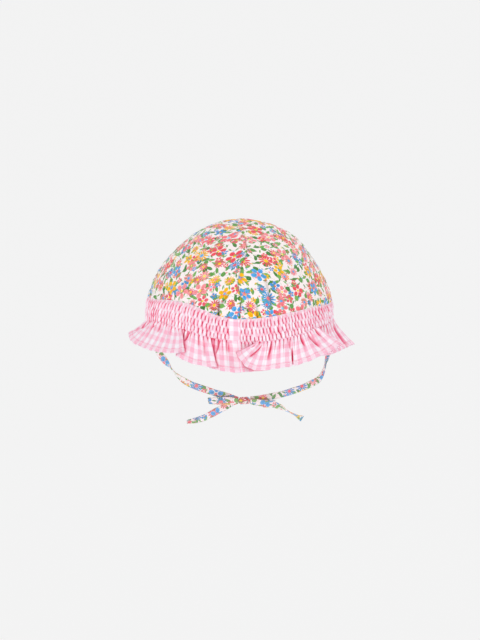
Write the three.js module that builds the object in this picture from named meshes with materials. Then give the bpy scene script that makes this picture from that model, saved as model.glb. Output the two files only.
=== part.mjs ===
// A baby's sun bonnet of woven cotton, in millimetres, +Z up, its front towards -Y.
// Four print panels make the crown. A gingham strip runs round the head: its upper half is
// shirred on elastic rows, and its lower half falls free as a ruffle. Two narrow tapes start
// inside the band at the sides and are tied in a bow below the chin.
// The origin is the centre of the head opening, level with the lower edge of the band.
import * as THREE from "three";

// Clearance between neighbouring pieces
const GAP = 0.3;

// Crown, half of a rounded egg: every level and every upright section is a superellipse
const HALF_WIDTH = 74;
const HALF_DEPTH = 81;
const CROWN_HEIGHT = 77.5;
const ROUNDNESS = 1.9;
const CROWN_WALL = 1.5;
const SEAM_DIP = 0.5;
const SEAM_REACH = 2.5;
const PANEL_COLUMNS = 9;
const PANEL_ROWS = 10;

// Shirred band
const BAND_HEIGHT = 17;
const BAND_WALL = 1.6;
const PUFF_ROWS = 3;
const PUFFS_ROUND = 84;
const PUFF_SWELL = 1.7;
const PLAIN_STRIP_X = -3.6;
const PLAIN_STRIP_HALF = 4.2;

// Ruffle
const RUFFLE_COLUMNS = 150;
const RUFFLE_ROWS = 4;
const RUFFLE_WALL_OUT = 1.2;
const RUFFLE_WALL_DOWN = 0.8;
const FLARE_CURVE = 1.25;

// Tapes of the ties and the bow
const TAPE_THICKNESS = 1;
const TAPE_STEP = 3.2;
const KNOT_X = 2.7;
const KNOT_Z = -63.3;
const KNOT_HALF_LENGTH = 4.25;
const KNOT_HALF_DEPTH = 3.3;
const KNOT_HALF_HEIGHT = 2.9;
const KNOT_SIDES = 12;
const TAPE_AT_KNOT = 3.4;
const TAPE_END_GAP = 0.6;
const LEFT_OF_KNOT = KNOT_X - KNOT_HALF_LENGTH - TAPE_END_GAP;
const RIGHT_OF_KNOT = KNOT_X + KNOT_HALF_LENGTH + TAPE_END_GAP;

// Small tucks and puckers of the front panels. The angle is in degrees from the centre front,
// towards +X; low and high are the heights between which the cloth is drawn in.
const TUCKS = [
  { angle: -12.4, low: 17, high: 35, depth: 0.8, halfWidth: 2.6 },
  { angle: 10.6, low: 17, high: 31, depth: 0.8, halfWidth: 2.6 },
  { angle: 20.5, low: 27, high: 48, depth: 0.7, halfWidth: 2.4 },
];

// Folds of the hem. Each row is a crest or a crease: its angle in degrees from the centre
// front, how far the hem stands out from the head opening there, and how far it drops.
const HEM_FOLDS = [
  { angle: -172, out: 17, drop: 19 },
  { angle: -160, out: 9, drop: 20 },
  { angle: -148, out: 17, drop: 19 },
  { angle: -139, out: 10, drop: 20 },
  { angle: -124, out: 18, drop: 18 },
  { angle: -112, out: 9, drop: 19 },
  { angle: -98, out: 14, drop: 16 },
  { angle: -88, out: 12, drop: 13 },
  { angle: -72, out: 18, drop: 11 },
  { angle: -52, out: 20, drop: 10 },
  { angle: -34, out: 20, drop: 11 },
  { angle: -27, out: 8, drop: 16 },
  { angle: -20, out: 15, drop: 18 },
  { angle: -13, out: 18, drop: 18.5 },
  { angle: -8.5, out: 8, drop: 20 },
  { angle: -3, out: 13, drop: 21.5 },
  { angle: 1, out: 8, drop: 20.5 },
  { angle: 6, out: 19, drop: 20 },
  { angle: 17, out: 18, drop: 20 },
  { angle: 24, out: 16, drop: 19.5 },
  { angle: 27, out: 11, drop: 19 },
  { angle: 32, out: 16, drop: 18.5 },
  { angle: 46, out: 19, drop: 16 },
  { angle: 59, out: 20, drop: 15 },
  { angle: 65, out: 9, drop: 17 },
  { angle: 76, out: 14, drop: 17 },
  { angle: 90, out: 15.5, drop: 17.5 },
  { angle: 100, out: 9, drop: 19 },
  { angle: 113, out: 17, drop: 18 },
  { angle: 124, out: 9, drop: 20 },
  { angle: 139, out: 18, drop: 18.5 },
  { angle: 149, out: 9, drop: 20 },
  { angle: 163, out: 17, drop: 19 },
  { angle: 174, out: 10, drop: 20 },
];

// Middle lines of the tapes. x and z are seen from the front, y is the depth, width is the
// width of the tape there, and turn is its twist in degrees: 0 shows its face to the front.
const TIE_LEFT = [
  { x: -70.2, y: 0, z: 6, width: 5.2, turn: 90 },
  { x: -70, y: 0, z: -4, width: 5.2, turn: 90 },
  { x: -67.2, y: 0, z: -16, width: 5.2, turn: 60 },
  { x: -61.2, y: 0.2, z: -26.7, width: 5.4, turn: 8 },
  { x: -57.6, y: 0.4, z: -31.8, width: 5, turn: 20 },
  { x: -53.6, y: 0.6, z: -37, width: 4.6, turn: 78 },
  { x: -48.4, y: 0.8, z: -43.2, width: 4.8, turn: 45 },
  { x: -41.8, y: 1, z: -48.2, width: 5.2, turn: 5 },
  { x: -26.2, y: 1.4, z: -54.9, width: 5.4, turn: 0 },
  { x: -12, y: 1.8, z: -59.6, width: 5.2, turn: 0 },
  { x: LEFT_OF_KNOT, y: 1.95, z: -62.3, width: TAPE_AT_KNOT, turn: 0 },
];
const TIE_RIGHT = [
  { x: 70.2, y: 0, z: 6, width: 5.2, turn: 90 },
  { x: 70, y: 0, z: -4, width: 5.2, turn: 90 },
  { x: 69.6, y: 0, z: -16, width: 5.2, turn: 70 },
  { x: 68.2, y: 0.2, z: -28, width: 5, turn: 52 },
  { x: 66.2, y: 0.4, z: -36.5, width: 4.6, turn: 76 },
  { x: 64.2, y: 0.6, z: -42.4, width: 4.8, turn: 60 },
  { x: 60.8, y: 0.8, z: -46.6, width: 5, turn: 30 },
  { x: 54.4, y: 1, z: -49.6, width: 5.2, turn: 10 },
  { x: 39.6, y: 1.4, z: -55.7, width: 5.2, turn: 0 },
  { x: 23, y: 1.8, z: -60.6, width: 5.2, turn: 0 },
  { x: RIGHT_OF_KNOT, y: 1.95, z: -62.3, width: TAPE_AT_KNOT, turn: 0 },
];
const LOOP_LEFT = [
  { x: LEFT_OF_KNOT, y: -1.95, z: -62.8, width: TAPE_AT_KNOT, turn: 0 },
  { x: -8, y: -2.3, z: -62.3, width: 4.8, turn: 0 },
  { x: -17, y: -2.7, z: -61.9, width: 5.2, turn: 0 },
  { x: -23.4, y: -2.5, z: -62.5, width: 5.2, turn: 0 },
  { x: -25, y: -1.5, z: -62.8, width: 5.2, turn: 0 },
  { x: -23.4, y: -0.6, z: -63.1, width: 5.2, turn: 0 },
  { x: -17, y: -0.5, z: -63.7, width: 5.2, turn: 0 },
  { x: -8, y: -0.65, z: -63.9, width: 4.6, turn: 0 },
  { x: LEFT_OF_KNOT, y: -0.65, z: -63.4, width: TAPE_AT_KNOT, turn: 0 },
];
const LOOP_RIGHT = [
  { x: RIGHT_OF_KNOT, y: -1.95, z: -63.4, width: TAPE_AT_KNOT, turn: 0 },
  { x: 12.5, y: -2.4, z: -64.2, width: 4.8, turn: 0 },
  { x: 20, y: -2.7, z: -65.5, width: 5.2, turn: 0 },
  { x: 25.6, y: -2.5, z: -66, width: 5.2, turn: 0 },
  { x: 27.1, y: -1.5, z: -66, width: 5.2, turn: 0 },
  { x: 25.6, y: -0.6, z: -66.1, width: 5.2, turn: 0 },
  { x: 20, y: -0.6, z: -66.4, width: 5.2, turn: 0 },
  { x: 12.5, y: -0.65, z: -65.4, width: 4.6, turn: 0 },
  { x: RIGHT_OF_KNOT, y: -0.65, z: -64, width: TAPE_AT_KNOT, turn: 0 },
];
const TAIL_LEFT = [
  { x: LEFT_OF_KNOT, y: 0.65, z: -64.2, width: TAPE_AT_KNOT, turn: 0 },
  { x: -5, y: 0.65, z: -64.7, width: 4.2, turn: 0 },
  { x: -12, y: 0.7, z: -68.2, width: 5.2, turn: 0 },
  { x: -19, y: 0.5, z: -71.6, width: 5.6, turn: 0 },
  { x: -28, y: 0.2, z: -76.4, width: 5.2, turn: 0 },
  { x: -34.4, y: 0, z: -78.4, width: 5, turn: 35 },
  { x: -42.4, y: 0, z: -80, width: 4.8, turn: 68 },
];
const TAIL_RIGHT = [
  { x: RIGHT_OF_KNOT, y: 0.65, z: -64, width: TAPE_AT_KNOT, turn: 0 },
  { x: 14, y: 0.65, z: -65, width: 4.6, turn: 0 },
  { x: 23, y: 0.65, z: -65.2, width: 5, turn: 0 },
  { x: 30.5, y: 0.5, z: -67, width: 5, turn: 20 },
  { x: 36, y: 0.2, z: -69.8, width: 4.8, turn: 68 },
  { x: 43.5, y: 0, z: -74.4, width: 4.8, turn: 62 },
  { x: 48, y: 0, z: -78.6, width: 5.4, turn: 10 },
];

// Colours of the woven cottons
const PRINT_COTTON = { color: 0xf3ded6, roughness: 0.9, metalness: 0 };
const GINGHAM_COTTON = { color: 0xfbc7d4, roughness: 0.9, metalness: 0 };

const LAST_ANGLE = Math.PI / 2;

function radians(degrees) {
  return THREE.MathUtils.degToRad(degrees);
}

// How wide the crown is at a level, as a share of its width at the opening
function levelShare(rise) {
  return Math.pow(Math.max(Math.cos(rise), 0), 2 / ROUNDNESS);
}

// The rise angle at which a crown of this height reaches the level z
function riseAt(z, height) {
  return Math.asin(Math.pow(z / height, ROUNDNESS / 2));
}

// A point of the egg, drawn in by the inset; the angle runs from the centre front towards +X
function crownPoint(angle, rise, inset) {
  const share = levelShare(rise);
  return new THREE.Vector3(
    (HALF_WIDTH - inset) * share * Math.sin(angle),
    -(HALF_DEPTH - inset) * share * Math.cos(angle),
    (CROWN_HEIGHT - inset) * Math.pow(Math.sin(rise), 2 / ROUNDNESS),
  );
}

// A closed cloth body between an outer and an inner grid of points, both [column][row].
// Columns run anticlockwise seen from above, and rows run upwards.
function clothBody(outer, inner, closedRound) {
  const corners = [];
  const addTriangle = (a, b, c) => {
    if (a.distanceTo(b) < 1e-6 || b.distanceTo(c) < 1e-6 || c.distanceTo(a) < 1e-6) return;
    corners.push(a, b, c);
  };
  const addQuad = (a, b, c, d) => {
    addTriangle(a, b, c);
    addTriangle(a, c, d);
  };
  const columns = outer.length;
  const top = outer[0].length - 1;
  const strips = closedRound ? columns : columns - 1;
  for (let i = 0; i < strips; i += 1) {
    const j = (i + 1) % columns;
    for (let row = 0; row < top; row += 1) {
      addQuad(outer[i][row], outer[j][row], outer[j][row + 1], outer[i][row + 1]);
    }
    const innerTop = inner[0].length - 1;
    for (let row = 0; row < innerTop; row += 1) {
      addQuad(inner[j][row], inner[i][row], inner[i][row + 1], inner[j][row + 1]);
    }
    addQuad(inner[i][0], inner[j][0], outer[j][0], outer[i][0]);
    addQuad(outer[i][top], outer[j][top], inner[j][innerTop], inner[i][innerTop]);
  }
  if (!closedRound) {
    const last = columns - 1;
    for (let row = 0; row < top; row += 1) {
      addQuad(inner[0][row], outer[0][row], outer[0][row + 1], inner[0][row + 1]);
      addQuad(outer[last][row], inner[last][row], inner[last][row + 1], outer[last][row + 1]);
    }
  }
  const geometry = new THREE.BufferGeometry().setFromPoints(corners);
  geometry.computeVertexNormals();
  return geometry;
}

function clothMesh(name, geometry, cotton) {
  const mesh = new THREE.Mesh(geometry, new THREE.MeshStandardMaterial(cotton));
  mesh.name = name;
  return mesh;
}

// How far the crown is drawn in at a point: along the panel seams and in the tucks
function crownDip(angle, z, start, end) {
  const rise = riseAt(z, CROWN_HEIGHT);
  const radius = HALF_WIDTH * levelShare(rise);
  const seamDistance = radius * Math.min(angle - start, end - angle);
  let dip = SEAM_DIP * Math.exp(-Math.pow(seamDistance / SEAM_REACH, 2));
  for (const tuck of TUCKS) {
    const aside = Math.abs(angle - radians(tuck.angle)) * radius;
    const along = (z - tuck.low) / (tuck.high - tuck.low);
    if (aside < tuck.halfWidth && along >= 0 && along <= 1) {
      dip += tuck.depth * (1 - aside / tuck.halfWidth) * (1 - along * along);
    }
  }
  return dip;
}

// The columns of a panel: evenly spaced, with more beside its seams and at its tucks
function panelAngles(start, end) {
  const besideSeam = (2 * SEAM_REACH) / HALF_WIDTH;
  const angles = [start, start + besideSeam, end - besideSeam, end];
  for (let i = 1; i < PANEL_COLUMNS; i += 1) {
    angles.push(start + ((end - start) * i) / PANEL_COLUMNS);
  }
  for (const tuck of TUCKS) {
    const middle = radians(tuck.angle);
    const side = tuck.halfWidth / HALF_WIDTH;
    angles.push(middle - side, middle, middle + side);
  }
  const inside = angles.filter((angle) => angle >= start && angle <= end);
  inside.sort((a, b) => a - b);
  return inside.filter((angle, i) => i === 0 || angle - inside[i - 1] > 0.3 * besideSeam);
}

// One quarter of the crown, moved half a gap away from both of its neighbours
function crownPanel(name, startDegrees, sideX, sideY) {
  const start = radians(startDegrees);
  const end = start + Math.PI / 2;
  const bottom = BAND_HEIGHT + GAP;
  const outer = [];
  const inner = [];
  for (const angle of panelAngles(start, end)) {
    const outerColumn = [];
    const innerColumn = [];
    for (let row = 0; row <= PANEL_ROWS; row += 1) {
      const share = row / PANEL_ROWS;
      const plainRise = THREE.MathUtils.lerp(riseAt(bottom, CROWN_HEIGHT), LAST_ANGLE, share);
      const dip = crownDip(angle, crownPoint(angle, plainRise, 0).z, start, end);
      for (const [column, inset] of [[outerColumn, dip], [innerColumn, CROWN_WALL]]) {
        const lowest = riseAt(bottom, CROWN_HEIGHT - inset);
        column.push(crownPoint(angle, THREE.MathUtils.lerp(lowest, LAST_ANGLE, share), inset));
      }
    }
    outer.push(outerColumn);
    inner.push(innerColumn);
  }
  const mesh = clothMesh(name, clothBody(outer, inner, false), PRINT_COTTON);
  mesh.position.set((sideX * GAP) / 2, (sideY * GAP) / 2, 0);
  return mesh;
}

// A point of the head opening's egg at a height near the band, moved out from it
function bandPoint(angle, z, out) {
  const share = levelShare(riseAt(Math.max(z, 0), CROWN_HEIGHT));
  return new THREE.Vector3(
    (HALF_WIDTH * share + out) * Math.sin(angle),
    -(HALF_DEPTH * share + out) * Math.cos(angle),
    z,
  );
}

// How far the shirred cloth swells at a half puff. Stitched rows lie flat, and the puffs of
// one row stand over the slits of the next. One narrow strip at the front isn't gathered.
function puffSwell(column, level, angle) {
  const x = HALF_WIDTH * Math.sin(angle);
  if (Math.cos(angle) > 0 && Math.abs(x - PLAIN_STRIP_X) < PLAIN_STRIP_HALF) {
    return 0.5 * PUFF_SWELL;
  }
  const onStitchedRow = level % 2 === 0;
  const puffRow = (level - 1) / 2;
  const isCrest = (column + puffRow) % 2 === 0;
  return onStitchedRow || !isCrest ? 0 : PUFF_SWELL;
}

function shirredBand() {
  const columns = 2 * PUFFS_ROUND;
  const levels = 2 * PUFF_ROWS;
  const outer = [];
  const inner = [];
  for (let column = 0; column < columns; column += 1) {
    const angle = (column * 2 * Math.PI) / columns;
    const outerColumn = [];
    for (let level = 0; level <= levels; level += 1) {
      const z = (BAND_HEIGHT * level) / levels;
      outerColumn.push(bandPoint(angle, z, puffSwell(column, level, angle)));
    }
    outer.push(outerColumn);
    inner.push([bandPoint(angle, 0, -BAND_WALL), bandPoint(angle, BAND_HEIGHT, -BAND_WALL)]);
  }
  return clothMesh("shirred_band", clothBody(outer, inner, true), GINGHAM_COTTON);
}

// A value of the hem folds at any angle, eased from one row of the table to the next
function hemFold(degrees, key) {
  const turned = ((((degrees - HEM_FOLDS[0].angle) % 360) + 360) % 360) + HEM_FOLDS[0].angle;
  const after = HEM_FOLDS.findIndex((row) => row.angle > turned);
  const last = HEM_FOLDS.length - 1;
  const before = after < 0 ? HEM_FOLDS[last] : HEM_FOLDS[after - 1];
  const next = after < 0 ? HEM_FOLDS[0] : HEM_FOLDS[after];
  const nextAngle = after < 0 ? next.angle + 360 : next.angle;
  const share = (turned - before.angle) / (nextAngle - before.angle);
  const eased = share * share * (3 - 2 * share);
  return THREE.MathUtils.lerp(before[key], next[key], eased);
}

function ruffle() {
  const outer = [];
  const inner = [];
  for (let column = 0; column < RUFFLE_COLUMNS; column += 1) {
    const degrees = (column * 360) / RUFFLE_COLUMNS;
    const outerColumn = [];
    const innerColumn = [];
    for (let row = 0; row <= RUFFLE_ROWS; row += 1) {
      const down = 1 - row / RUFFLE_ROWS;
      const out = hemFold(degrees, "out") * Math.pow(down, FLARE_CURVE);
      const z = -GAP - hemFold(degrees, "drop") * down;
      outerColumn.push(bandPoint(radians(degrees), z, out));
      innerColumn.push(
        bandPoint(radians(degrees), z - RUFFLE_WALL_DOWN, out - RUFFLE_WALL_OUT),
      );
    }
    outer.push(outerColumn);
    inner.push(innerColumn);
  }
  return clothMesh("ruffle", clothBody(outer, inner, true), GINGHAM_COTTON);
}

// A flat tape swept along its middle line. Its face starts towards the front, is carried
// along without spin, and is then twisted by the turn of the table.
function tape(name, rows) {
  const curve = new THREE.CatmullRomCurve3(
    rows.map((row) => new THREE.Vector3(row.x, row.y, row.z)),
    false,
    "centripetal",
  );
  const steps = Math.max(8, Math.round(curve.getLength() / TAPE_STEP));
  const across = new THREE.Vector3(0, 1, 0).cross(curve.getTangent(0)).normalize();
  const sections = [];
  for (let i = 0; i <= steps; i += 1) {
    const t = i / steps;
    const place = t * (rows.length - 1);
    const from = Math.min(Math.floor(place), rows.length - 2);
    const share = place - from;
    const width = THREE.MathUtils.lerp(rows[from].width, rows[from + 1].width, share);
    const turn = radians(THREE.MathUtils.lerp(rows[from].turn, rows[from + 1].turn, share));
    const along = curve.getTangent(t);
    across.addScaledVector(along, -across.dot(along)).normalize();
    const face = along.clone().cross(across);
    const side = across.clone().multiplyScalar(Math.cos(turn)).addScaledVector(face, Math.sin(turn));
    const front = along.clone().cross(side);
    const middle = curve.getPoint(t);
    const corner = (s, f) =>
      middle
        .clone()
        .addScaledVector(side, (s * width) / 2)
        .addScaledVector(front, (f * TAPE_THICKNESS) / 2);
    sections.push([corner(-1, -1), corner(1, -1), corner(1, 1), corner(-1, 1)]);
  }
  return clothMesh(name, sweptBody(sections), PRINT_COTTON);
}

// A closed body through a row of four-cornered sections
function sweptBody(sections) {
  const corners = [];
  const sides = sections[0].length;
  for (let i = 0; i + 1 < sections.length; i += 1) {
    for (let a = 0; a < sides; a += 1) {
      const b = (a + 1) % sides;
      corners.push(sections[i][a], sections[i][b], sections[i + 1][b]);
      corners.push(sections[i][a], sections[i + 1][b], sections[i + 1][a]);
    }
  }
  const first = sections[0];
  const last = sections[sections.length - 1];
  corners.push(first[0], first[2], first[1], first[0], first[3], first[2]);
  corners.push(last[0], last[1], last[2], last[0], last[2], last[3]);
  const geometry = new THREE.BufferGeometry().setFromPoints(corners);
  geometry.computeVertexNormals();
  return geometry;
}

// The knot, a barrel of wrapped tape whose axis runs from side to side
function bowKnot() {
  const profile = [
    new THREE.Vector2(0, -1),
    new THREE.Vector2(0.78, -1),
    new THREE.Vector2(0.98, -0.55),
    new THREE.Vector2(1, 0),
    new THREE.Vector2(0.98, 0.55),
    new THREE.Vector2(0.78, 1),
    new THREE.Vector2(0, 1),
  ];
  const geometry = new THREE.LatheGeometry(profile, KNOT_SIDES);
  geometry.rotateZ(-Math.PI / 2);
  geometry.scale(KNOT_HALF_LENGTH, KNOT_HALF_HEIGHT, KNOT_HALF_DEPTH);
  geometry.rotateX(Math.PI / 2);
  const mesh = clothMesh("bow_knot", geometry, PRINT_COTTON);
  mesh.position.set(KNOT_X, 0, KNOT_Z);
  return mesh;
}

const bonnet = new THREE.Group();
bonnet.add(crownPanel("crown_front_left", -90, -1, -1));
bonnet.add(crownPanel("crown_front_right", 0, 1, -1));
bonnet.add(crownPanel("crown_back_right", 90, 1, 1));
bonnet.add(crownPanel("crown_back_left", 180, -1, 1));
bonnet.add(shirredBand());
bonnet.add(ruffle());
bonnet.add(tape("tie_left", TIE_LEFT));
bonnet.add(tape("tie_right", TIE_RIGHT));
bonnet.add(bowKnot());
bonnet.add(tape("bow_loop_left", LOOP_LEFT));
bonnet.add(tape("bow_loop_right", LOOP_RIGHT));
bonnet.add(tape("bow_tail_left", TAIL_LEFT));
bonnet.add(tape("bow_tail_right", TAIL_RIGHT));

export default bonnet;
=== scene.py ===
# %% [markdown]
# A baby's sun bonnet, dressed cell by cell.
# The solid parts give every size and place. Each cell makes one cloth piece or one finish, says
# what it is on the real bonnet, and prints what it made.

import math

import bmesh
import bpy
import numpy as np
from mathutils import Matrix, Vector


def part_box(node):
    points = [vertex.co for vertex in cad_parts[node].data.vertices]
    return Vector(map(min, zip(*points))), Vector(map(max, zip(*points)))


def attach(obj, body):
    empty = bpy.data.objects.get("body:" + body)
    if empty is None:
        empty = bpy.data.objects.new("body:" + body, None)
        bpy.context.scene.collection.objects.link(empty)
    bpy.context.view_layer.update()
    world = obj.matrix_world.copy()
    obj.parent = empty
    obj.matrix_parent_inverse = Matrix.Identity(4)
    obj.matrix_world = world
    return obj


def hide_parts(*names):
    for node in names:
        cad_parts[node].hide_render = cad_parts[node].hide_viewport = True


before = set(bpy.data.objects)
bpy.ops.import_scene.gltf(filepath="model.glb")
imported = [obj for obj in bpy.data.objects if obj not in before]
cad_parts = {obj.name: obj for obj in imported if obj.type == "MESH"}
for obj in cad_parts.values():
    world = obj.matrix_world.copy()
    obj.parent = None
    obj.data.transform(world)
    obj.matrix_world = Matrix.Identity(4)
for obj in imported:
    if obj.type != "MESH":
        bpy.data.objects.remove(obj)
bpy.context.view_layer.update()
MM = 0.001
TURN = 2 * math.pi

# %% [markdown]
# The camera.
# The bonnet is seen from the front and a little above: the seam over the band sags in the middle
# of the picture, and the sag over the bonnet's depth gives an angle near eleven degrees. A long
# lens keeps the sides parallel, as in a shop picture taken from across the table.

# %% Camera
CAMERA_DISTANCE = 1.4
CAMERA_RISE = math.radians(10.7)
CAMERA_ROLL = math.radians(-0.9)
LENS_MM = 101.6
SENSOR_MM = 36.0
AIM = Vector((0.0004, 0.0, 0.0008))


def into_scene(name, data):
    thing = bpy.data.objects.new(name, data)
    bpy.context.scene.collection.objects.link(thing)
    return thing


def facing(direction):
    """The turn that points a camera or a lamp along this direction."""
    return direction.to_track_quat("-Z", "Y").to_euler()


camera_data = bpy.data.cameras.new("front_camera")
camera_data.lens = LENS_MM
camera_data.sensor_width = SENSOR_MM
camera = into_scene("front_camera", camera_data)
back_off = Vector((0.0, -math.cos(CAMERA_RISE), math.sin(CAMERA_RISE)))
camera.location = AIM + back_off * CAMERA_DISTANCE
camera.rotation_euler = facing(-back_off)
camera.rotation_euler.rotate_axis("Z", CAMERA_ROLL)
bpy.context.scene.camera = camera
print("camera at", [round(x, 3) for x in camera.location])

# %% [markdown]
# The studio.
# The picture has an even pale ground with no shadow on it. A large curved sheet, floor and back
# wall in one, gives that ground: it is far below the bonnet, so no shadow falls where the camera
# looks. Most of the light is a pale surround. Four broad lamps, two of them at the front, give
# the folds a soft shade.

# %% Studio
GROUND_BRIGHTNESS = 0.888
FLOOR_Z = -0.5
SHEET_HALF_WIDTH = 9.0
SHEET_FRONT_Y = -9.0
SHEET_WALL_Y = 2.6
SHEET_BEND = 1.2
SHEET_TOP_Z = 6.0
SHEET_GLOW = 0.825
SURROUND_LIGHT = 0.7
BEND_STEPS = 24


def studio_sheet():
    profile = [(SHEET_FRONT_Y, FLOOR_Z)]
    for step in range(BEND_STEPS + 1):
        turn = math.radians(90 * step / BEND_STEPS)
        y = SHEET_WALL_Y - SHEET_BEND + SHEET_BEND * math.sin(turn)
        profile.append((y, FLOOR_Z + SHEET_BEND - SHEET_BEND * math.cos(turn)))
    profile.append((SHEET_WALL_Y, SHEET_TOP_Z))
    points = [(side * SHEET_HALF_WIDTH, y, z) for y, z in profile for side in (-1, 1)]
    faces = [(2 * i, 2 * i + 1, 2 * i + 3, 2 * i + 2) for i in range(len(profile) - 1)]
    mesh = bpy.data.meshes.new("studio_sheet")
    mesh.from_pydata(points, [], faces)
    mesh.shade_smooth()
    return into_scene("studio_sheet", mesh)


def set_inputs(node, values):
    for name, value in values.items():
        node.inputs[name].default_value = value


studio_paper = bpy.data.materials.new("pale_studio_paper")
studio_paper.use_nodes = True
set_inputs(studio_paper.node_tree.nodes["Principled BSDF"], {
    "Base Color": (0.08, 0.08, 0.08, 1),
    "Roughness": 1.0,
    "Specular IOR Level": 0.0,
    "Emission Color": (1, 1, 1, 1),
    "Emission Strength": SHEET_GLOW,
})
ground = studio_sheet()
ground.data.materials.append(studio_paper)

world = bpy.data.worlds.new("pale_surround")
bpy.context.scene.world = world
world.use_nodes = True
world_shader = world.node_tree.nodes["Background"]
set_inputs(world_shader, {"Color": (GROUND_BRIGHTNESS, GROUND_BRIGHTNESS, GROUND_BRIGHTNESS, 1)})
seen_straight = world.node_tree.nodes.new("ShaderNodeLightPath").outputs["Is Camera Ray"]
surround = world.node_tree.nodes.new("ShaderNodeMapRange")
set_inputs(surround, {"To Min": SURROUND_LIGHT, "To Max": 1.0})
world.node_tree.links.new(seen_straight, surround.inputs["Value"])
world.node_tree.links.new(surround.outputs["Result"], world_shader.inputs["Strength"])

# Each lamp: name, place, size in metres, watts.
LAMPS = [
    ("key_lamp", (-0.9, -1.5, 1.6), 1.1, 10.0),
    ("front_lamp", (-0.4, -2.0, -0.3), 1.2, 12.0),
    ("side_lamp", (1.6, -0.7, 0.6), 1.4, 5.0),
    ("back_lamp", (0.4, 1.6, 1.5), 1.4, 7.0),
]
for name, place, size, watts in LAMPS:
    lamp_data = bpy.data.lights.new(name, "AREA")
    lamp_data.size = size
    lamp_data.energy = watts
    lamp = into_scene(name, lamp_data)
    lamp.location = place
    lamp.rotation_euler = facing(-Vector(place))
bpy.context.scene.view_settings.view_transform = "Standard"
print("lamps:", len(LAMPS))

# %% [markdown]
# Sums made of nodes.
# Shaders for cloth are mostly arithmetic on the cloth's own measure. Joined by hand, that takes
# pages. Here what a node puts out can be reckoned with: a * 2 + b adds a multiply and an add
# node, so that a pattern reads like the sum that it is.

# %% Node arithmetic
class Value:
    """One output of a node. Each sign of arithmetic adds the math node for it."""

    def __init__(self, desk, socket):
        self.desk = desk
        self.socket = socket

    def __add__(self, other):
        return self.desk.math("ADD", self, other)

    def __sub__(self, other):
        return self.desk.math("SUBTRACT", self, other)

    def __rsub__(self, other):
        return self.desk.math("SUBTRACT", other, self)

    def __mul__(self, other):
        return self.desk.math("MULTIPLY", self, other)

    def __truediv__(self, other):
        return self.desk.math("DIVIDE", self, other)

    def __rtruediv__(self, other):
        return self.desk.math("DIVIDE", other, self)

    def __pow__(self, other):
        return self.desk.math("POWER", self, other)


class Outputs:
    """The outputs of one node, asked for by name or number."""

    def __init__(self, desk, node):
        self.desk = desk
        self.node = node

    def __getitem__(self, key):
        return Value(self.desk, self.node.outputs[key])


print("node arithmetic ready")

# %% [markdown]
# A desk for nodes.
# The desk adds a node, sets it and feeds its inputs in one line. The few steps that nearly every
# pattern is made of, such as a soft edge, a mix and a scatter of patches, get names of their own.

# %% Node desk
MIX_COLOUR_A = 6
MIX_COLOUR_B = 7
MIX_COLOUR_RESULT = 2


class NodeDesk:
    def __init__(self, tree):
        self.tree = tree
        self.count = 0

    def add(self, kind, feeds=None, **settings):
        """Add a node with these settings, and feed its inputs, by name or number."""
        node = self.tree.nodes.new(kind)
        node.location = (self.count % 14 * 180, -(self.count // 14) * 240)
        self.count += 1
        for key, value in settings.items():
            setattr(node, key, value)
        for key, value in (feeds or {}).items():
            self.feed(node.inputs[key], value)
        return Outputs(self, node)

    def feed(self, socket, value):
        if isinstance(value, Value):
            self.tree.links.new(value.socket, socket)
        else:
            socket.default_value = value

    def math(self, operation, *values, clamp=False):
        feeds = dict(enumerate(values))
        return self.add("ShaderNodeMath", feeds, operation=operation, use_clamp=clamp)[0]

    def vector(self, operation, *values):
        feeds = dict(enumerate(values))
        return self.add("ShaderNodeVectorMath", feeds, operation=operation)["Vector"]

    def split(self, vector):
        parts = self.add("ShaderNodeSeparateXYZ", {0: vector})
        return parts["X"], parts["Y"]

    def from_middle(self, place, length):
        """How far a place lies from the middle of its repeat, as a share of the length."""
        return self.math("ABSOLUTE", self.math("FRACT", place / length) - 0.5)

    def step(self, value, edge, softness):
        """1 where value is under edge, 0 where it is over, with a soft edge."""
        return self.math("DIVIDE", self.math("SUBTRACT", edge, value), softness, clamp=True)

    def mix(self, share, under, over, blend_type="MIX"):
        feeds = {0: share, MIX_COLOUR_A: under, MIX_COLOUR_B: over}
        mixed = self.add("ShaderNodeMix", feeds, data_type="RGBA", blend_type=blend_type)
        return mixed[MIX_COLOUR_RESULT]

    def pick(self, value, stops):
        """One flat colour out of a list of (start, colour), chosen by a value from 0 to 1."""
        picked = self.add("ShaderNodeValToRGB", {"Fac": value})
        ramp = picked.node.color_ramp
        ramp.interpolation = "CONSTANT"
        while len(ramp.elements) < len(stops):
            ramp.elements.new(1.0)
        for element, (start, colour) in zip(ramp.elements, stops):
            element.position = start
            element.color = colour
        return picked["Color"]

    def scatter(self, cloth, spacing, unevenness):
        """Cut the cloth into patches: chance values for each, and the place inside it."""
        feeds = {"Vector": cloth, "Scale": 1.0 / spacing, "Randomness": unevenness}
        cells = self.add("ShaderNodeTexVoronoi", feeds, voronoi_dimensions="2D")
        chance = self.add("ShaderNodeSeparateColor", {0: cells["Color"]})
        return chance, self.vector("SUBTRACT", cloth, cells["Position"])

    def group(self, tree, **values):
        feeds = {name.replace("_", " ").capitalize(): value for name, value in values.items()}
        return self.add("ShaderNodeGroup", feeds, node_tree=tree)


print("node desk ready")

# %% [markdown]
# Groups and colours.
# An effect that several materials share is a node group, built once with named inputs and outputs.
# Colours are written as sRGB hex codes, as on a paint chart, and turned into linear light.

# %% Groups and colours
SOCKET_KINDS = {"Cloth": "Vector", "Colour": "Color", "Deep": "Color", "Pale": "Color"}


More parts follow.
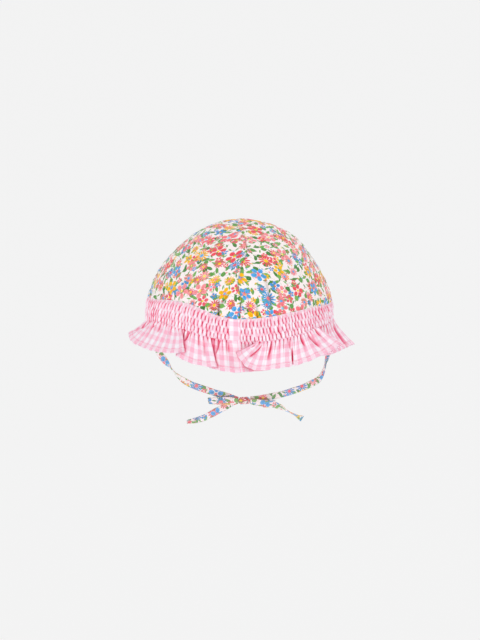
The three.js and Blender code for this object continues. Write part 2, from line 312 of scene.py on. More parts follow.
def new_group(name, inputs, outputs):
    """An empty node group. Sockets that SOCKET_KINDS doesn't name hold plain numbers."""
    tree = bpy.data.node_groups.new(name, "ShaderNodeTree")
    for in_out, socket_names in (("INPUT", inputs), ("OUTPUT", outputs)):
        for socket in socket_names:
            kind = "NodeSocket" + SOCKET_KINDS.get(socket, "Float")
            tree.interface.new_socket(name=socket, in_out=in_out, socket_type=kind)
    desk = NodeDesk(tree)
    return tree, desk, desk.add("NodeGroupInput"), desk.add("NodeGroupOutput").node.inputs


def paint(code):
    """A colour from its sRGB hex code, as the linear values that a shader takes."""
    parts = [int(code[i:i + 2], 16) / 255 for i in (0, 2, 4)]
    linear = [c / 12.92 if c <= 0.04045 else ((c + 0.055) / 1.055) ** 2.4 for c in parts]
    return (*linear, 1.0)


print("cream as linear light:", [round(x, 2) for x in paint("FFF3F3")])

# %% [markdown]
# Plain weave.
# Both cottons are plain woven: every thread goes over one and under the next. Two crossed waves
# make that relief, and where their product is positive the warp lies on top. The group gives the
# height for a bump and the mask of the threads on top, which yarn-dyed cloth also needs.

# %% Weave group
weave_group, desk, entry, result = new_group(
    "plain_weave", ["Cloth", "Pitch"], ["Height", "Warp on top"]
)
scaling = {0: entry["Cloth"], "Scale": math.pi / entry["Pitch"]}
over, up = desk.split(desk.add("ShaderNodeVectorMath", scaling, operation="SCALE")["Vector"])
crossing = desk.math("SINE", over) * desk.math("SINE", up)
desk.feed(result["Height"], desk.math("ABSOLUTE", crossing))
desk.feed(result["Warp on top"], desk.math("GREATER_THAN", crossing, 0.0))
print("weave nodes:", len(weave_group.nodes))

# %% [markdown]
# A row of stitches.
# Machine stitches show along the hem. A row is a line at one place across the cloth, cut into
# dashes along it. The mask colours the thread, and the same mask lifts it in the bump.

# %% Stitch group
stitch_group, desk, entry, result = new_group(
    "stitch_row", ["Along", "Across", "Line", "Length", "Width"], ["Thread", "Dent"]
)
from_line = desk.math("ABSOLUTE", entry["Across"] - entry["Line"])
dash = desk.from_middle(entry["Along"], entry["Length"])
thread = desk.step(dash, 0.4, 0.08) * desk.step(from_line, entry["Width"] * 0.5, 0.06)
desk.feed(result["Thread"], thread)
desk.feed(result["Dent"], desk.step(from_line, entry["Width"] * 2.0, 0.5))
print("stitch nodes:", len(stitch_group.nodes))

# %% [markdown]
# Scattered blossoms.
# The print is a small all-over flower pattern of the traditional kind. A Voronoi texture gives
# each patch of cloth a centre and three chance values. The plane around the centre is folded
# like a paper fan, so that one petal, an oval, is enough to draw the whole flower: five broad
# petals on some, twelve narrow ones on the daisies.

# %% Blossom group
blossom_group, desk, entry, result = new_group(
    "scattered_blossoms",
    ["Cloth", "Spacing", "Radius", "Daisies", "Presence"],
    ["Petals", "Heart", "Streak", "Chance"],
)
chance, around = desk.scatter(entry["Cloth"], entry["Spacing"], 0.6)
x, y = desk.split(around)
reach = desk.math("SQRT", x**2.0 + y**2.0)
second_chance = desk.math("FRACT", chance["Red"] * 7.3)
size = entry["Radius"] * (second_chance * 0.3 + 0.82)
is_daisy = desk.math("LESS_THAN", chance["Green"], entry["Daisies"])
petal_count = is_daisy * 7.0 + 5.0
angle = desk.math("ARCTAN2", y, x) + chance["Blue"] * 6.28
sector = TURN / petal_count
folded = sector * (desk.math("FRACT", angle / sector) - 0.5)
along = reach * desk.math("COSINE", folded) / size
aside = reach * desk.math("SINE", folded) / size
half_wide = 0.31 - is_daisy * 0.195
oval = ((along - 0.62) / 0.38) ** 2.0 + (aside / half_wide) ** 2.0
present = desk.math("LESS_THAN", chance["Blue"], entry["Presence"])
desk.feed(result["Petals"], desk.step(oval, 1.0, 0.22) * present)
heart_size = size * (is_daisy * 0.09 + 0.19)
desk.feed(result["Heart"], desk.step(reach, heart_size, 0.12) * present)
narrow = desk.step(desk.math("ABSOLUTE", aside), 0.07, 0.04)
desk.feed(result["Streak"], narrow * desk.step(along, 0.72, 0.12))
desk.feed(result["Chance"], chance["Red"])
print("blossom nodes:", len(blossom_group.nodes))

# %% [markdown]
# Scattered leaves.
# A leaf is the space between two shallow parabolas, turned by a chance angle, with a pale
# midrib. The print uses this group at three spacings, so that the leaves lie close together
# without lining up.

# %% Leaf group
leaf_group, desk, entry, result = new_group(
    "scattered_leaves", ["Cloth", "Spacing", "Half length", "Half width"], ["Leaf", "Midrib", "Chance"]
)
chance, around = desk.scatter(entry["Cloth"], entry["Spacing"], 0.65)
turning = {"Vector": around, "Angle": chance["Green"] * 6.28}
x, y = desk.split(desk.add("ShaderNodeVectorRotate", turning, rotation_type="Z_AXIS")[0])
taper = desk.math("SUBTRACT", 1.0, (x / entry["Half length"]) ** 2.0, clamp=True)
aside = desk.math("ABSOLUTE", y)
desk.feed(result["Leaf"], desk.step(aside, entry["Half width"] * taper, 0.1))
rib = desk.step(aside, 0.1, 0.08) * desk.math("GREATER_THAN", taper, 0.2)
desk.feed(result["Midrib"], rib)
desk.feed(result["Chance"], chance["Red"])
print("leaf nodes:", len(leaf_group.nodes))

# %% [markdown]
# The flower print.
# The colours go down as a screen printer lays them: stems first, then leaves, small berries,
# small blossoms and at last the large flowers, each covering what lies under it on a cream
# ground. The motifs and their layout are the maker's own.

# %% Print group
def palette(text):
    """A list of (start, colour), written as the starts and the hex codes in turn."""
    words = text.split()
    return [(float(start), paint(code)) for start, code in zip(words[::2], words[1::2])]


CREAM = paint("FFF3F3")
LEAF_GREENS = palette("0 74B254  0.4 5FA047  0.72 3F8433")
LARGE_COLOURS = palette("0 FB7C86  0.22 F4505E  0.40 FB989E  0.56 52AEEE  0.78 FFC400")
LARGE_HEARTS = palette("0 8CC6F0  0.22 FFD11A  0.40 FFE27A  0.56 FB8088  0.78 6DB4EA")
MIDDLE_COLOURS = palette("0 F25C70  0.34 4C97E0  0.56 F98C98  0.78 FFC71A  0.90 F4505E")
MIDDLE_HEARTS = palette("0 FFD000  0.34 F9566A  0.56 57ADEA  0.78 F98C98  0.90 FFD84A")
BERRY_COLOURS = palette("0 F4505E  0.45 5BB0EA  0.65 FFC400  0.85 F98C98")
STEM_SPACING_MM = 9.0
STEM_HALF_MM = 0.13
# Each layer of leaves: its shift on the cloth, then spacing, half length and half width in mm.
LEAF_LAYERS = [
    ((31.0, 7.0, 0.0), 5.6, 2.0, 0.6),
    ((5.0, 43.0, 0.0), 7.4, 3.1, 1.15),
    ((77.0, 13.0, 0.0), 9.0, 2.4, 1.9),
]
# Each layer of blossoms: shift, spacing, radius, share of daisies, share of patches filled.
BLOSSOM_LAYERS = [
    ((3.0, 91.0, 0.0), 5.4, 0.8, 0.0, 0.5, BERRY_COLOURS, BERRY_COLOURS),
    ((61.0, 17.0, 0.0), 8.4, 2.5, 0.0, 0.55, MIDDLE_COLOURS, MIDDLE_HEARTS),
    ((19.0, 53.0, 0.0), 10.9, 4.2, 0.75, 0.75, MIDDLE_COLOURS, MIDDLE_HEARTS),
    ((0.0, 0.0, 0.0), 16.0, 5.7, 0.2, 0.95, LARGE_COLOURS, LARGE_HEARTS),
]

print_group, desk, entry, result = new_group("flower_print", ["Cloth"], ["Colour"])
cloth = entry["Cloth"]
wander = desk.add("ShaderNodeTexNoise", {"Vector": cloth, "Scale": 0.16}, noise_dimensions="2D")
bent = desk.vector("ADD", cloth, desk.vector("MULTIPLY", wander["Color"], (7.0, 7.0, 0.0)))
stem_net = desk.add(
    "ShaderNodeTexVoronoi",
    {"Vector": bent, "Scale": 1.0 / STEM_SPACING_MM},
    voronoi_dimensions="2D",
    feature="DISTANCE_TO_EDGE",
)
stem_mask = desk.step(stem_net["Distance"], STEM_HALF_MM / STEM_SPACING_MM, 0.012)
colour = desk.mix(stem_mask, CREAM, paint("86B868"))
for shift, spacing, half_length, half_width in LEAF_LAYERS:
    moved = desk.vector("ADD", cloth, shift)
    leaves = desk.group(
        leaf_group, cloth=moved, spacing=spacing, half_length=half_length, half_width=half_width
    )
    green = desk.pick(leaves["Chance"], LEAF_GREENS)
    green = desk.mix(leaves["Midrib"] * 0.6, green, paint("A6CC86"))
    colour = desk.mix(leaves["Leaf"], colour, green)
for shift, spacing, radius, daisies, presence, petal_colours, heart_colours in BLOSSOM_LAYERS:
    moved = desk.vector("ADD", cloth, shift)
    flowers = desk.group(
        blossom_group, cloth=moved, spacing=spacing, radius=radius, daisies=daisies, presence=presence
    )
    petals = desk.pick(flowers["Chance"], petal_colours)
    streaked = desk.mix(1.0, petals, paint("F0B8B4"), "MULTIPLY")
    petals = desk.mix(flowers["Streak"] * 0.6, petals, streaked)
    colour = desk.mix(flowers["Petals"], colour, petals)
    colour = desk.mix(flowers["Heart"], colour, desk.pick(flowers["Chance"], heart_colours))
desk.feed(result["Colour"], colour)
print("print nodes:", len(print_group.nodes))

# %% [markdown]
# Gingham.
# Gingham is woven from dyed yarn. Bands of pink and white warp cross bands of pink and white
# weft, so a square is full pink where both are pink, white where both are white, and half pink
# where they differ. The check follows the cloth's own measure, so gathers bend it as they should.

# %% Gingham group
CHECK_MM = 3.7
WARP_SHARE = 0.65
BAND_SOFTNESS = 0.07
YARN_CONTRAST = 0.25
GINGHAM_WHITE = paint("FFF8FF")
GINGHAM_PALE = paint("FFDAEA")
GINGHAM_PINK = paint("FFBCD3")

gingham_group, desk, entry, result = new_group(
    "gingham_check", ["Cloth", "Warp on top"], ["Colour"]
)


def number_mix(share, under, over):
    return desk.add("ShaderNodeMix", {0: share, 2: under, 3: over}, data_type="FLOAT")[0]


bands = []
for place in desk.split(entry["Cloth"]):
    repeat = desk.from_middle(place, 2 * CHECK_MM)
    bands.append(desk.step(repeat, 0.25 + BAND_SOFTNESS / 2, BAND_SOFTNESS))
warp, weft = bands
pink_share = warp * WARP_SHARE + weft * (1 - WARP_SHARE)
top_yarn = number_mix(entry["Warp on top"], weft, warp)
mixed = number_mix(YARN_CONTRAST, pink_share, top_yarn)
pale = desk.mix(desk.math("MULTIPLY", mixed, 2.0, clamp=True), GINGHAM_WHITE, GINGHAM_PALE)
strong = desk.math("SUBTRACT", mixed * 2.0, 1.0, clamp=True)
desk.feed(result["Colour"], desk.mix(strong, pale, GINGHAM_PINK))
print("gingham nodes:", len(gingham_group.nodes))

# %% [markdown]
# The tone of cotton, with painted light and shade.
# Yarn is never quite even, so the colour wavers a little along the cloth. Every mesh also carries
# a value called fold, which paints light and shade into the colour. At 1, deep in a slit or
# crease, it is painted shade that deepens the colour. At 0, on open cloth, it does nothing. Under 0
# the cloth is painted paler: a painted highlight on the crest of a puff, painted light on the ties,
# and a paler doubled hem and join seam.

# %% Tone group
tone_and_light_group, desk, entry, result = new_group(
    "cotton_tone_and_painted_light", ["Cloth", "Colour", "Fold", "Deep", "Pale"], ["Colour"]
)
slub = desk.add("ShaderNodeTexNoise", {"Vector": entry["Cloth"], "Scale": 0.9}, noise_dimensions="2D")
uneven = slub["Fac"] * 0.1 + 0.94
tone = desk.add("ShaderNodeCombineColor", {0: uneven, 1: uneven, 2: uneven})
toned = desk.mix(1.0, entry["Colour"], tone[0], "MULTIPLY")
# Painted shade: where fold is over 0 the colour is multiplied towards the deep colour. Where it is
# under 0 it is mixed towards the pale one as painted light.
painted_shade_colour = desk.mix(1.0, toned, entry["Deep"], "MULTIPLY")
toned = desk.mix(desk.math("ADD", entry["Fold"], 0.0, clamp=True), toned, painted_shade_colour)
lifted = desk.math("MULTIPLY", entry["Fold"], -1.0, clamp=True)
desk.feed(result["Colour"], desk.mix(lifted, toned, entry["Pale"]))
print("tone nodes:", len(tone_and_light_group.nodes))

# %% [markdown]
# The cloth materials.
# All cotton here is matt with a soft sheen from its fibres. Every mesh carries a map called
# cloth, which is the flat cloth in millimetres: the print, the checks, the weave and the stitches
# are all laid out on it, so that they follow every gather.

# %% Cotton materials
WEAVE_PITCH_MM = 0.42
BAND_MM = 17.0
RUFFLE_CLOTH_MM = 25.5
HEM_LINE_MM = 2.2
HEM_STITCH = {"line": BAND_MM + RUFFLE_CLOTH_MM - HEM_LINE_MM, "length": 2.4, "width": 0.42}
THREAD_COLOUR = paint("FFE9EE")
# Colours of painted light: deep is painted shade in slits, creases and seams, and pale is painted
# highlight and painted light where the fold value is under 0.
PRINT_PAINTED_LIGHT = {"deep": paint("40382E"), "pale": paint("F2F8FF")}
GINGHAM_PAINTED_LIGHT = {"deep": paint("EE467C"), "pale": paint("FFF4FF")}


def cotton(name, colour_of, painted_light, stitches=None):
    """A matt cotton. colour_of lays the colour, and stitches is one stitched row, or nothing."""
    material = bpy.data.materials.new(name)
    material.use_nodes = True
    desk = NodeDesk(material.node_tree)
    shader = material.node_tree.nodes["Principled BSDF"]
    cloth = desk.add("ShaderNodeUVMap", uv_map="cloth")["UV"]
    fold = desk.add("ShaderNodeAttribute", attribute_name="fold")["Fac"]
    weave = desk.group(weave_group, cloth=cloth, pitch=WEAVE_PITCH_MM)
    colour = colour_of(desk, cloth, weave["Warp on top"])
    height = weave["Height"]
    if stitches:
        along, across = desk.split(cloth)
        row = desk.group(stitch_group, along=along, across=across, **stitches)
        colour = desk.mix(row["Thread"], colour, THREAD_COLOUR)
        height = height + row["Thread"] * 2.2 - row["Dent"] * 1.4
    # Here the fold value paints shade and light into the colour.
    toned = desk.group(tone_and_light_group, cloth=cloth, colour=colour, fold=fold, **painted_light)
    desk.feed(shader.inputs["Base Color"], toned["Colour"])
    desk.feed(shader.inputs["Roughness"], weave["Height"] * 0.14 + 0.78)
    bump = desk.add("ShaderNodeBump", {"Strength": 0.35, "Distance": 0.12 * MM, "Height": height})
    desk.feed(shader.inputs["Normal"], bump["Normal"])
    set_inputs(shader, {"Specular IOR Level": 0.18, "Sheen Weight": 0.18, "Sheen Roughness": 0.6})
    return material


def print_face(desk, cloth, warp_on_top):
    return desk.group(print_group, cloth=cloth)["Colour"]


def print_back(desk, cloth, warp_on_top):
    return desk.mix(0.72, print_face(desk, cloth, warp_on_top), paint("F6ECE6"))


def gingham_face(desk, cloth, warp_on_top):
    return desk.group(gingham_group, cloth=cloth, warp_on_top=warp_on_top)["Colour"]


print_cotton = cotton("print_cotton_face", print_face, PRINT_PAINTED_LIGHT)
print_wrong_side = cotton("print_cotton_back", print_back, PRINT_PAINTED_LIGHT)
gingham_cotton = cotton("gingham_cotton", gingham_face, GINGHAM_PAINTED_LIGHT, HEM_STITCH)
print("materials:", len(bpy.data.materials))

# %% [markdown]
# Cloth meshes.
# Each cloth piece is a grid: columns run round the head and rows run up the cloth. A grid keeps
# the cloth's own measure on every corner, so the weave, the checks and the print lie on it as
# they do on flat cloth.

# %% Grid meshes
def grid_mesh(node, points, cloth_mm, fold, closed=True):
    """points is [column][row] in mm; cloth_mm has one more column if the grid is closed."""
    columns, rows = points.shape[:2]
    i = np.arange(columns if closed else columns - 1)[:, None]
    k = np.arange(rows - 1)[None, :]
    j = (i + 1) % columns
    quads = np.stack([i * rows + k, j * rows + k, j * rows + k + 1, i * rows + k + 1], axis=-1)
    mesh = bpy.data.meshes.new(node + "_cloth")
    mesh.from_pydata((points * MM).reshape(-1, 3).tolist(), [], quads.reshape(-1, 4).tolist())
    layer = mesh.uv_layers.new(name="cloth")
    corners = [cloth_mm[i, k], cloth_mm[i + 1, k], cloth_mm[i + 1, k + 1], cloth_mm[i, k + 1]]
    layer.data.foreach_set("uv", np.stack(corners, axis=2).astype(np.float32).ravel())
    value = mesh.attributes.new("fold", "FLOAT", "POINT")
    value.data.foreach_set("value", fold.astype(np.float32).ravel())
    mesh.shade_smooth()
    mesh.update()
    return mesh


print("grid meshes ready")

# %% [markdown]
# Finishing a piece.
# Where a grid runs to a point or ends open, its mesh is mended on a bench. Then it becomes the
# object that stands for one solid. A bare sheet gets the thickness of the real cloth from a
# Solidify modifier, which keeps the sheet itself easy to shape.

# %% Finishing a piece
WELD_DISTANCE = 1e-6


def weld(work):
    bmesh.ops.remove_doubles(work, verts=work.verts, dist=WELD_DISTANCE)


def close_ends(work):
    bmesh.ops.holes_fill(work, edges=[edge for edge in work.edges if edge.is_boundary])


def face_outwards(work):
    bmesh.ops.recalc_face_normals(work, faces=work.faces)


def rework(mesh, *steps):
    """Take the mesh to the bench, do the steps and put it back."""
    work = bmesh.new()
    work.from_mesh(mesh)
    for step in steps:
        step(work)
    work.to_mesh(mesh)
    work.free()


def dress(node, mesh, materials, thickness_mm=0):
    """Make the object that stands for one solid, thickened if the mesh is a bare sheet."""
    for material in materials:
        mesh.materials.append(material)
    piece = into_scene(node + "_cloth", mesh)
    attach(piece, "root")
    if thickness_mm:
        solid = piece.modifiers.new("cloth_thickness", "SOLIDIFY")
        solid.thickness = thickness_mm * MM
        solid.offset = -1.0
        solid.material_offset = len(materials) - 1
    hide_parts(node)
    return piece


print("bench ready")

# %% [markdown]
# The crown's shape.
# The crown is half of a rounded egg, the same superellipse as its solids: the sizes below are
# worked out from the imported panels' box. The cloth stands a little higher at the top. Every panel
# is a gore, so its cloth measure runs up its own middle line and out sideways from it, as the
# flat piece was cut.

# %% Crown shape
ROUNDNESS = 1.9
HALF_GAP_MM = 0.15
CLOTH_RISE_MM = 2.2
BAND_SEAT_MM = 0.3
panel_reach = [float(x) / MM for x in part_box("crown_back_right")[1]]
CROWN_TOP_MM = panel_reach[2]
BAND_TOP_MM = float(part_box("shirred_band")[1][2]) / MM
at_band = (BAND_TOP_MM + BAND_SEAT_MM) / CROWN_TOP_MM
share_at_band = (1 - at_band**ROUNDNESS) ** (1 / ROUNDNESS)
HALF_WIDTH_MM = (panel_reach[0] - HALF_GAP_MM) / share_at_band
HALF_DEPTH_MM = (panel_reach[1] - HALF_GAP_MM) / share_at_band
print("crown half width, half depth, height in mm:",
      round(HALF_WIDTH_MM, 1), round(HALF_DEPTH_MM, 1), round(CROWN_TOP_MM, 1))


def crown_points(angle, rise, inset):
    """Points in mm on the egg, drawn in by the inset; angle is from the centre front to +X."""
    share = np.maximum(np.cos(rise), 0) ** (2 / ROUNDNESS)
    x = (HALF_WIDTH_MM - inset) * share * np.sin(angle)
    y = -(HALF_DEPTH_MM - inset) * share * np.cos(angle)
    z = (CROWN_TOP_MM - inset) * np.sin(rise) ** (2 / ROUNDNESS)
    return np.stack([x, y, z + CLOTH_RISE_MM * (z / CROWN_TOP_MM) ** 3], axis=-1)


def share_at(z):
    """How wide the egg is at a height, as a share of its full width."""
    return (1 - (z / CROWN_TOP_MM) ** ROUNDNESS) ** (1 / ROUNDNESS)

# %% [markdown]
# The line of the band.
# Soft cloth doesn't lie level. On the picture's left the band rides up by most of a centimetre,
# and at the centre front it sags. Each row of the table gives an angle from the centre front,
# and how far the lower and the upper edge of the band lie above the level line there.

# %% Band line
BAND_LINE = [
    (-135, 0, 0), (-110, 0.4, 2), (-90, 0.8, 4.6), (-76, 3.6, 5.2), (-60, 8.4, 7.6),
    (-50, 8.3, 9.2), (-40, 7, 9.2), (-31, 6.6, 8.6), (-22, 3.6, 5.2), (-14, 1.9, 1.9),
    (-3, 0.6, -0.8), (10, -0.8, -0.6), (21, -0.6, 0.2), (32, 0.6, 1.4), (44, 1.8, 2),
    (55, 3.3, 1.8), (73, 2.6, -0.3), (90, 1.4, -1.2), (110, 1, 0), (135, 0, 0),
]
LINE_STEPS = 720
LINE_EASING = 8
line_angles = np.linspace(-np.pi, np.pi, LINE_STEPS, endpoint=False)


def eased_line(edge):
    """The heights of one edge at evenly spread angles, with the corners rounded off."""
    table = np.array(BAND_LINE)
    heights = np.interp(line_angles, np.radians(table[:, 0]), table[:, edge], period=TURN)
    shifts = range(-LINE_EASING, LINE_EASING + 1)
    return np.mean([np.roll(heights, shift) for shift in shifts], axis=0)


low_line = eased_line(1)
high_line = eased_line(2)


def band_low(angle):
    return np.interp(angle, line_angles, low_line, period=TURN)


def band_high(angle):
    return BAND_TOP_MM + np.interp(angle, line_angles, high_line, period=TURN)


print("the band's lower edge lies", round(float(low_line.min()), 1), "to",
      round(float(low_line.max()), 1), "mm above the level line")

# %% [markdown]
# Soft sums.
# Nothing on cloth steps up or down sharply. Three small sums come back in every shape below: a
# cut-off between 0 and 1, a bell, and a wave whose length wavers as real gathers do.

# %% Soft sums
def unit(x):
    """Cut off under 0 and over 1."""
    return np.clip(x, 0, 1)


def bell(x):
    """1 at x = 0, falling smoothly to nothing on both sides."""
    return np.exp(-(x**2))


def uneven_wave(x, length, sway, slow):
    """A wave from -1 to 1 whose length wavers, as gathers and puckers do."""
    return np.sin(TURN * x / length + sway * np.sin(x / slow))


print("a bell at 0, 1 and 2:", [round(float(bell(x)), 2) for x in (0, 1, 2)])

# %% [markdown]
# Seams and tucks.
# Along a seam the two panels dip into a shallow groove, and the allowances pressed open behind
# them lift a strip on each side. The stitching draws the cloth up a little, which puckers it.
# The centre front seam wanders, because the crown lies a little crumpled. Short tucks stand over
# the band, a longer pucker runs up to the right of the seam, and high on the right the crown
# bulges a little, as it does in the picture.

# %% Crown relief
SEAM_GROOVE_MM = 0.6
SEAM_GROOVE_HALF_MM = 0.6
ALLOWANCE_LIFT_MM = 0.3
ALLOWANCE_WIDTH_MM = 6.0
PUCKER_MM = 0.25
PUCKER_SPACING_MM = 6.5
GATHER_MM = 0.42
GATHER_SPACING_MM = 8.3
BULGE_MM = 3.2
BULGE_Z = 63
BULGE_REACH_MM = 13
BULGE_REACH_ANGLE = 0.75
# The height on the centre front seam, and how far it lies to the right there.
SEAM_WANDER = [
    (17, 0), (30, 1.5), (42, -1), (52, 2), (62, 6.5), (70, 5), (77, 0),
]
# Each tuck: angle, sideways lean, lowest and highest place, depth, half width.
TUCKS = [
    (-12.6, -0.02, 15, 33, 3.2, 0.75), (-11.2, 0.75, 27, 38, 1.6, 0.8),
    (10.6, 0.03, 15, 29, 1.9, 0.65), (20.5, -0.08, 25, 49, 1.3, 1.3),
    (2.5, 0.45, 20, 33, 0.8, 1.5),
]


def wandered(angle, z):
    """The angle with the centre front seam moved sideways, fading out towards the side seams."""
    over = np.interp(z, *np.transpose(SEAM_WANDER))
    share = unit(1 - np.abs(angle) / (np.pi / 2))
    return angle + share * over / np.maximum(crown_radius(z), 12.0)


def crown_radius(z):
    return HALF_WIDTH_MM * share_at(np.clip(z, 0, 0.999 * CROWN_TOP_MM))


def crown_relief(angle, seam_angle, z, start, end):
    """How far the cloth lies inside the egg, in mm, and the painted shade in its seam groove and
    tucks.
    """
    radius = crown_radius(z)
    arc = radius * angle
    seam = radius * np.minimum(seam_angle - start, end - seam_angle)
    groove = bell(seam / SEAM_GROOVE_HALF_MM)
    inset = SEAM_GROOVE_MM * groove
    inset -= ALLOWANCE_LIFT_MM * bell((seam / ALLOWANCE_WIDTH_MM) ** 2) * (1 - groove)
    pucker = uneven_wave(z, PUCKER_SPACING_MM, 3, 9)
    inset += PUCKER_MM * np.exp(-seam / 7.0) * pucker
    above_band = np.maximum(z - band_high(angle), 0)
    gather = uneven_wave(arc, GATHER_SPACING_MM, 2.2, 13) + 0.4 * np.sin(arc / 0.8)
    inset += GATHER_MM * gather * np.exp(-above_band / 5.5) + 0.6 * np.exp(-above_band / 1.5)
    to_the_right = bell((angle - np.pi / 2) / BULGE_REACH_ANGLE)
    inset -= BULGE_MM * to_the_right * bell((z - BULGE_Z) / BULGE_REACH_MM)
    # Painted shade: the colour is darkened a little in the seam groove and more deeply in the tucks.
    fold = groove * 0.12
    for turn, lean, low, high, depth, half_width in TUCKS:
        aside = np.abs(arc - math.radians(turn) * radius - lean * (z - low)) / half_width
        along = unit((z - low) / (high - low))
        inside = np.where((z >= low) & (z <= high), np.cos(along * np.pi / 2) ** 0.8, 0)
        slit = np.exp(-(aside**1.5)) * inside
        lips = np.exp(-((aside - 2.6) ** 2) / 1.6) * inside
        inset += depth * (slit - 0.22 * lips)
        fold += slit * min(1.0, depth / 3.0)
    return inset, unit(fold)


print("tucks over the band:", len(TUCKS))

# %% [markdown]
# The flat gore.
# A panel is cut flat before it is sewn. Its measure is taken along the egg, up the middle line
# and out sideways from it, so that the print isn't stretched where the gore runs to a point.

# %% Flat gore
GORE_SAMPLES = 400
GORE_OVERLAP = 0.8


def travelled(points):
    """How far along a line of points each point lies."""
    steps = np.linalg.norm(np.diff(points, axis=0), axis=1)
    return np.concatenate([[0], np.cumsum(steps)])


def gore(angle, rise, start, end):
    """The place on the flat panel: out sideways from its middle line, and up along it."""
    middle = (start + end) / 2
    rises = np.linspace(0, np.pi / 2, GORE_SAMPLES)
    up_line = travelled(crown_points(np.full(GORE_SAMPLES, middle), rises, 0))
    turns = np.linspace(start - GORE_OVERLAP, end + GORE_OVERLAP, GORE_SAMPLES)
    out_line = travelled(crown_points(turns, np.zeros(GORE_SAMPLES), 0))
    out_line -= np.interp(middle, turns, out_line)
    out = np.interp(angle, turns, out_line) * np.cos(rise) ** (2 / ROUNDNESS)
    return np.stack([out, np.interp(rise, rises, up_line)], axis=-1)


print("gore samples:", GORE_SAMPLES)

# %% [markdown]
# The four crown panels.
# Each panel covers a quarter of the crown and is cut from its own place in the print, so the
# flowers break off at the seams. Broad, shallow dents keep the crown from looking moulded.

# %% Crown panels
PANEL_ROWS = 96
PANEL_SEAT_DROP_MM = 0.6
PRINT_THICKNESS_MM = 0.7
DENT_MM = 0.28
NOISE_WAVES = 7
# Each panel: its solid, the angle where it starts, its columns, and where it is cut in the print.
PANELS = [
    ("crown_front_left", -90, 200, (0, 0)),
    ("crown_front_right", 0, 200, (247, 131)),
    ("crown_back_right", 90, 130, (516, 59)),
    ("crown_back_left", 180, 130, (773, 211)),
]


def soft_noise(points, wavelength, seed):
    """Smooth noise from -1 to 1: the mean of a few waves that run in chance directions."""
    chance = np.random.default_rng(seed)
    total = np.zeros(points.shape[:-1])
    for _ in range(NOISE_WAVES):
        direction = chance.normal(size=points.shape[-1])
        direction *= TURN / (wavelength * np.linalg.norm(direction)) * chance.uniform(0.7, 1.4)
        total += np.sin(points @ direction + chance.uniform(0, TURN))
    return total / math.sqrt(NOISE_WAVES)


def crown_panel(node, first, columns, cut_at):
    start = math.radians(first)
    end = start + math.pi / 2
    even = np.linspace(0, 1, columns + 1)
    eased = 0.6 * even + 0.4 * (1 - np.cos(np.pi * even)) / 2
    seam_angle = (start + (end - start) * eased)[:, None]
    lowest_z = band_high(seam_angle) - PANEL_SEAT_DROP_MM
    lowest = np.arcsin((lowest_z / CROWN_TOP_MM) ** (ROUNDNESS / 2))
    rise = lowest + (np.pi / 2 - lowest) * np.linspace(0, 1, PANEL_ROWS + 1)[None, :]
    seam_angle = np.broadcast_to(seam_angle, rise.shape)
    height = crown_points(seam_angle, rise, 0)[..., 2]
    angle = wandered(seam_angle, height)
    plain = crown_points(angle, rise, 0)
    inset, fold = crown_relief(angle, seam_angle, height, start, end)
    dents = soft_noise(plain, 42.0, 5) + 0.5 * soft_noise(plain, 19.0, 9)
    calm = unit((height - band_high(angle)) / 10)
    points = crown_points(angle, rise, inset + DENT_MM * (1 + dents * calm))
    flat = gore(angle, rise, start, end)
    mesh = grid_mesh(node, points, flat + cut_at, fold, closed=False)
    rework(mesh, weld)
    materials = [print_cotton, print_wrong_side]
    piece = dress(node, mesh, materials, PRINT_THICKNESS_MM)


for row in PANELS:
    crown_panel(*row)

# %% [markdown]
# The hem's folds.
# The ruffle hangs from the last elastic row. Its hem is a long line that swings out into lobes
# and folds back under them. The table follows it round the front: first the angle where that
# column of cloth leaves the band, then x, y and z of the place where it ends. Where x runs
# backwards, the cloth folds under its neighbour. The back gets a row of even lobes.

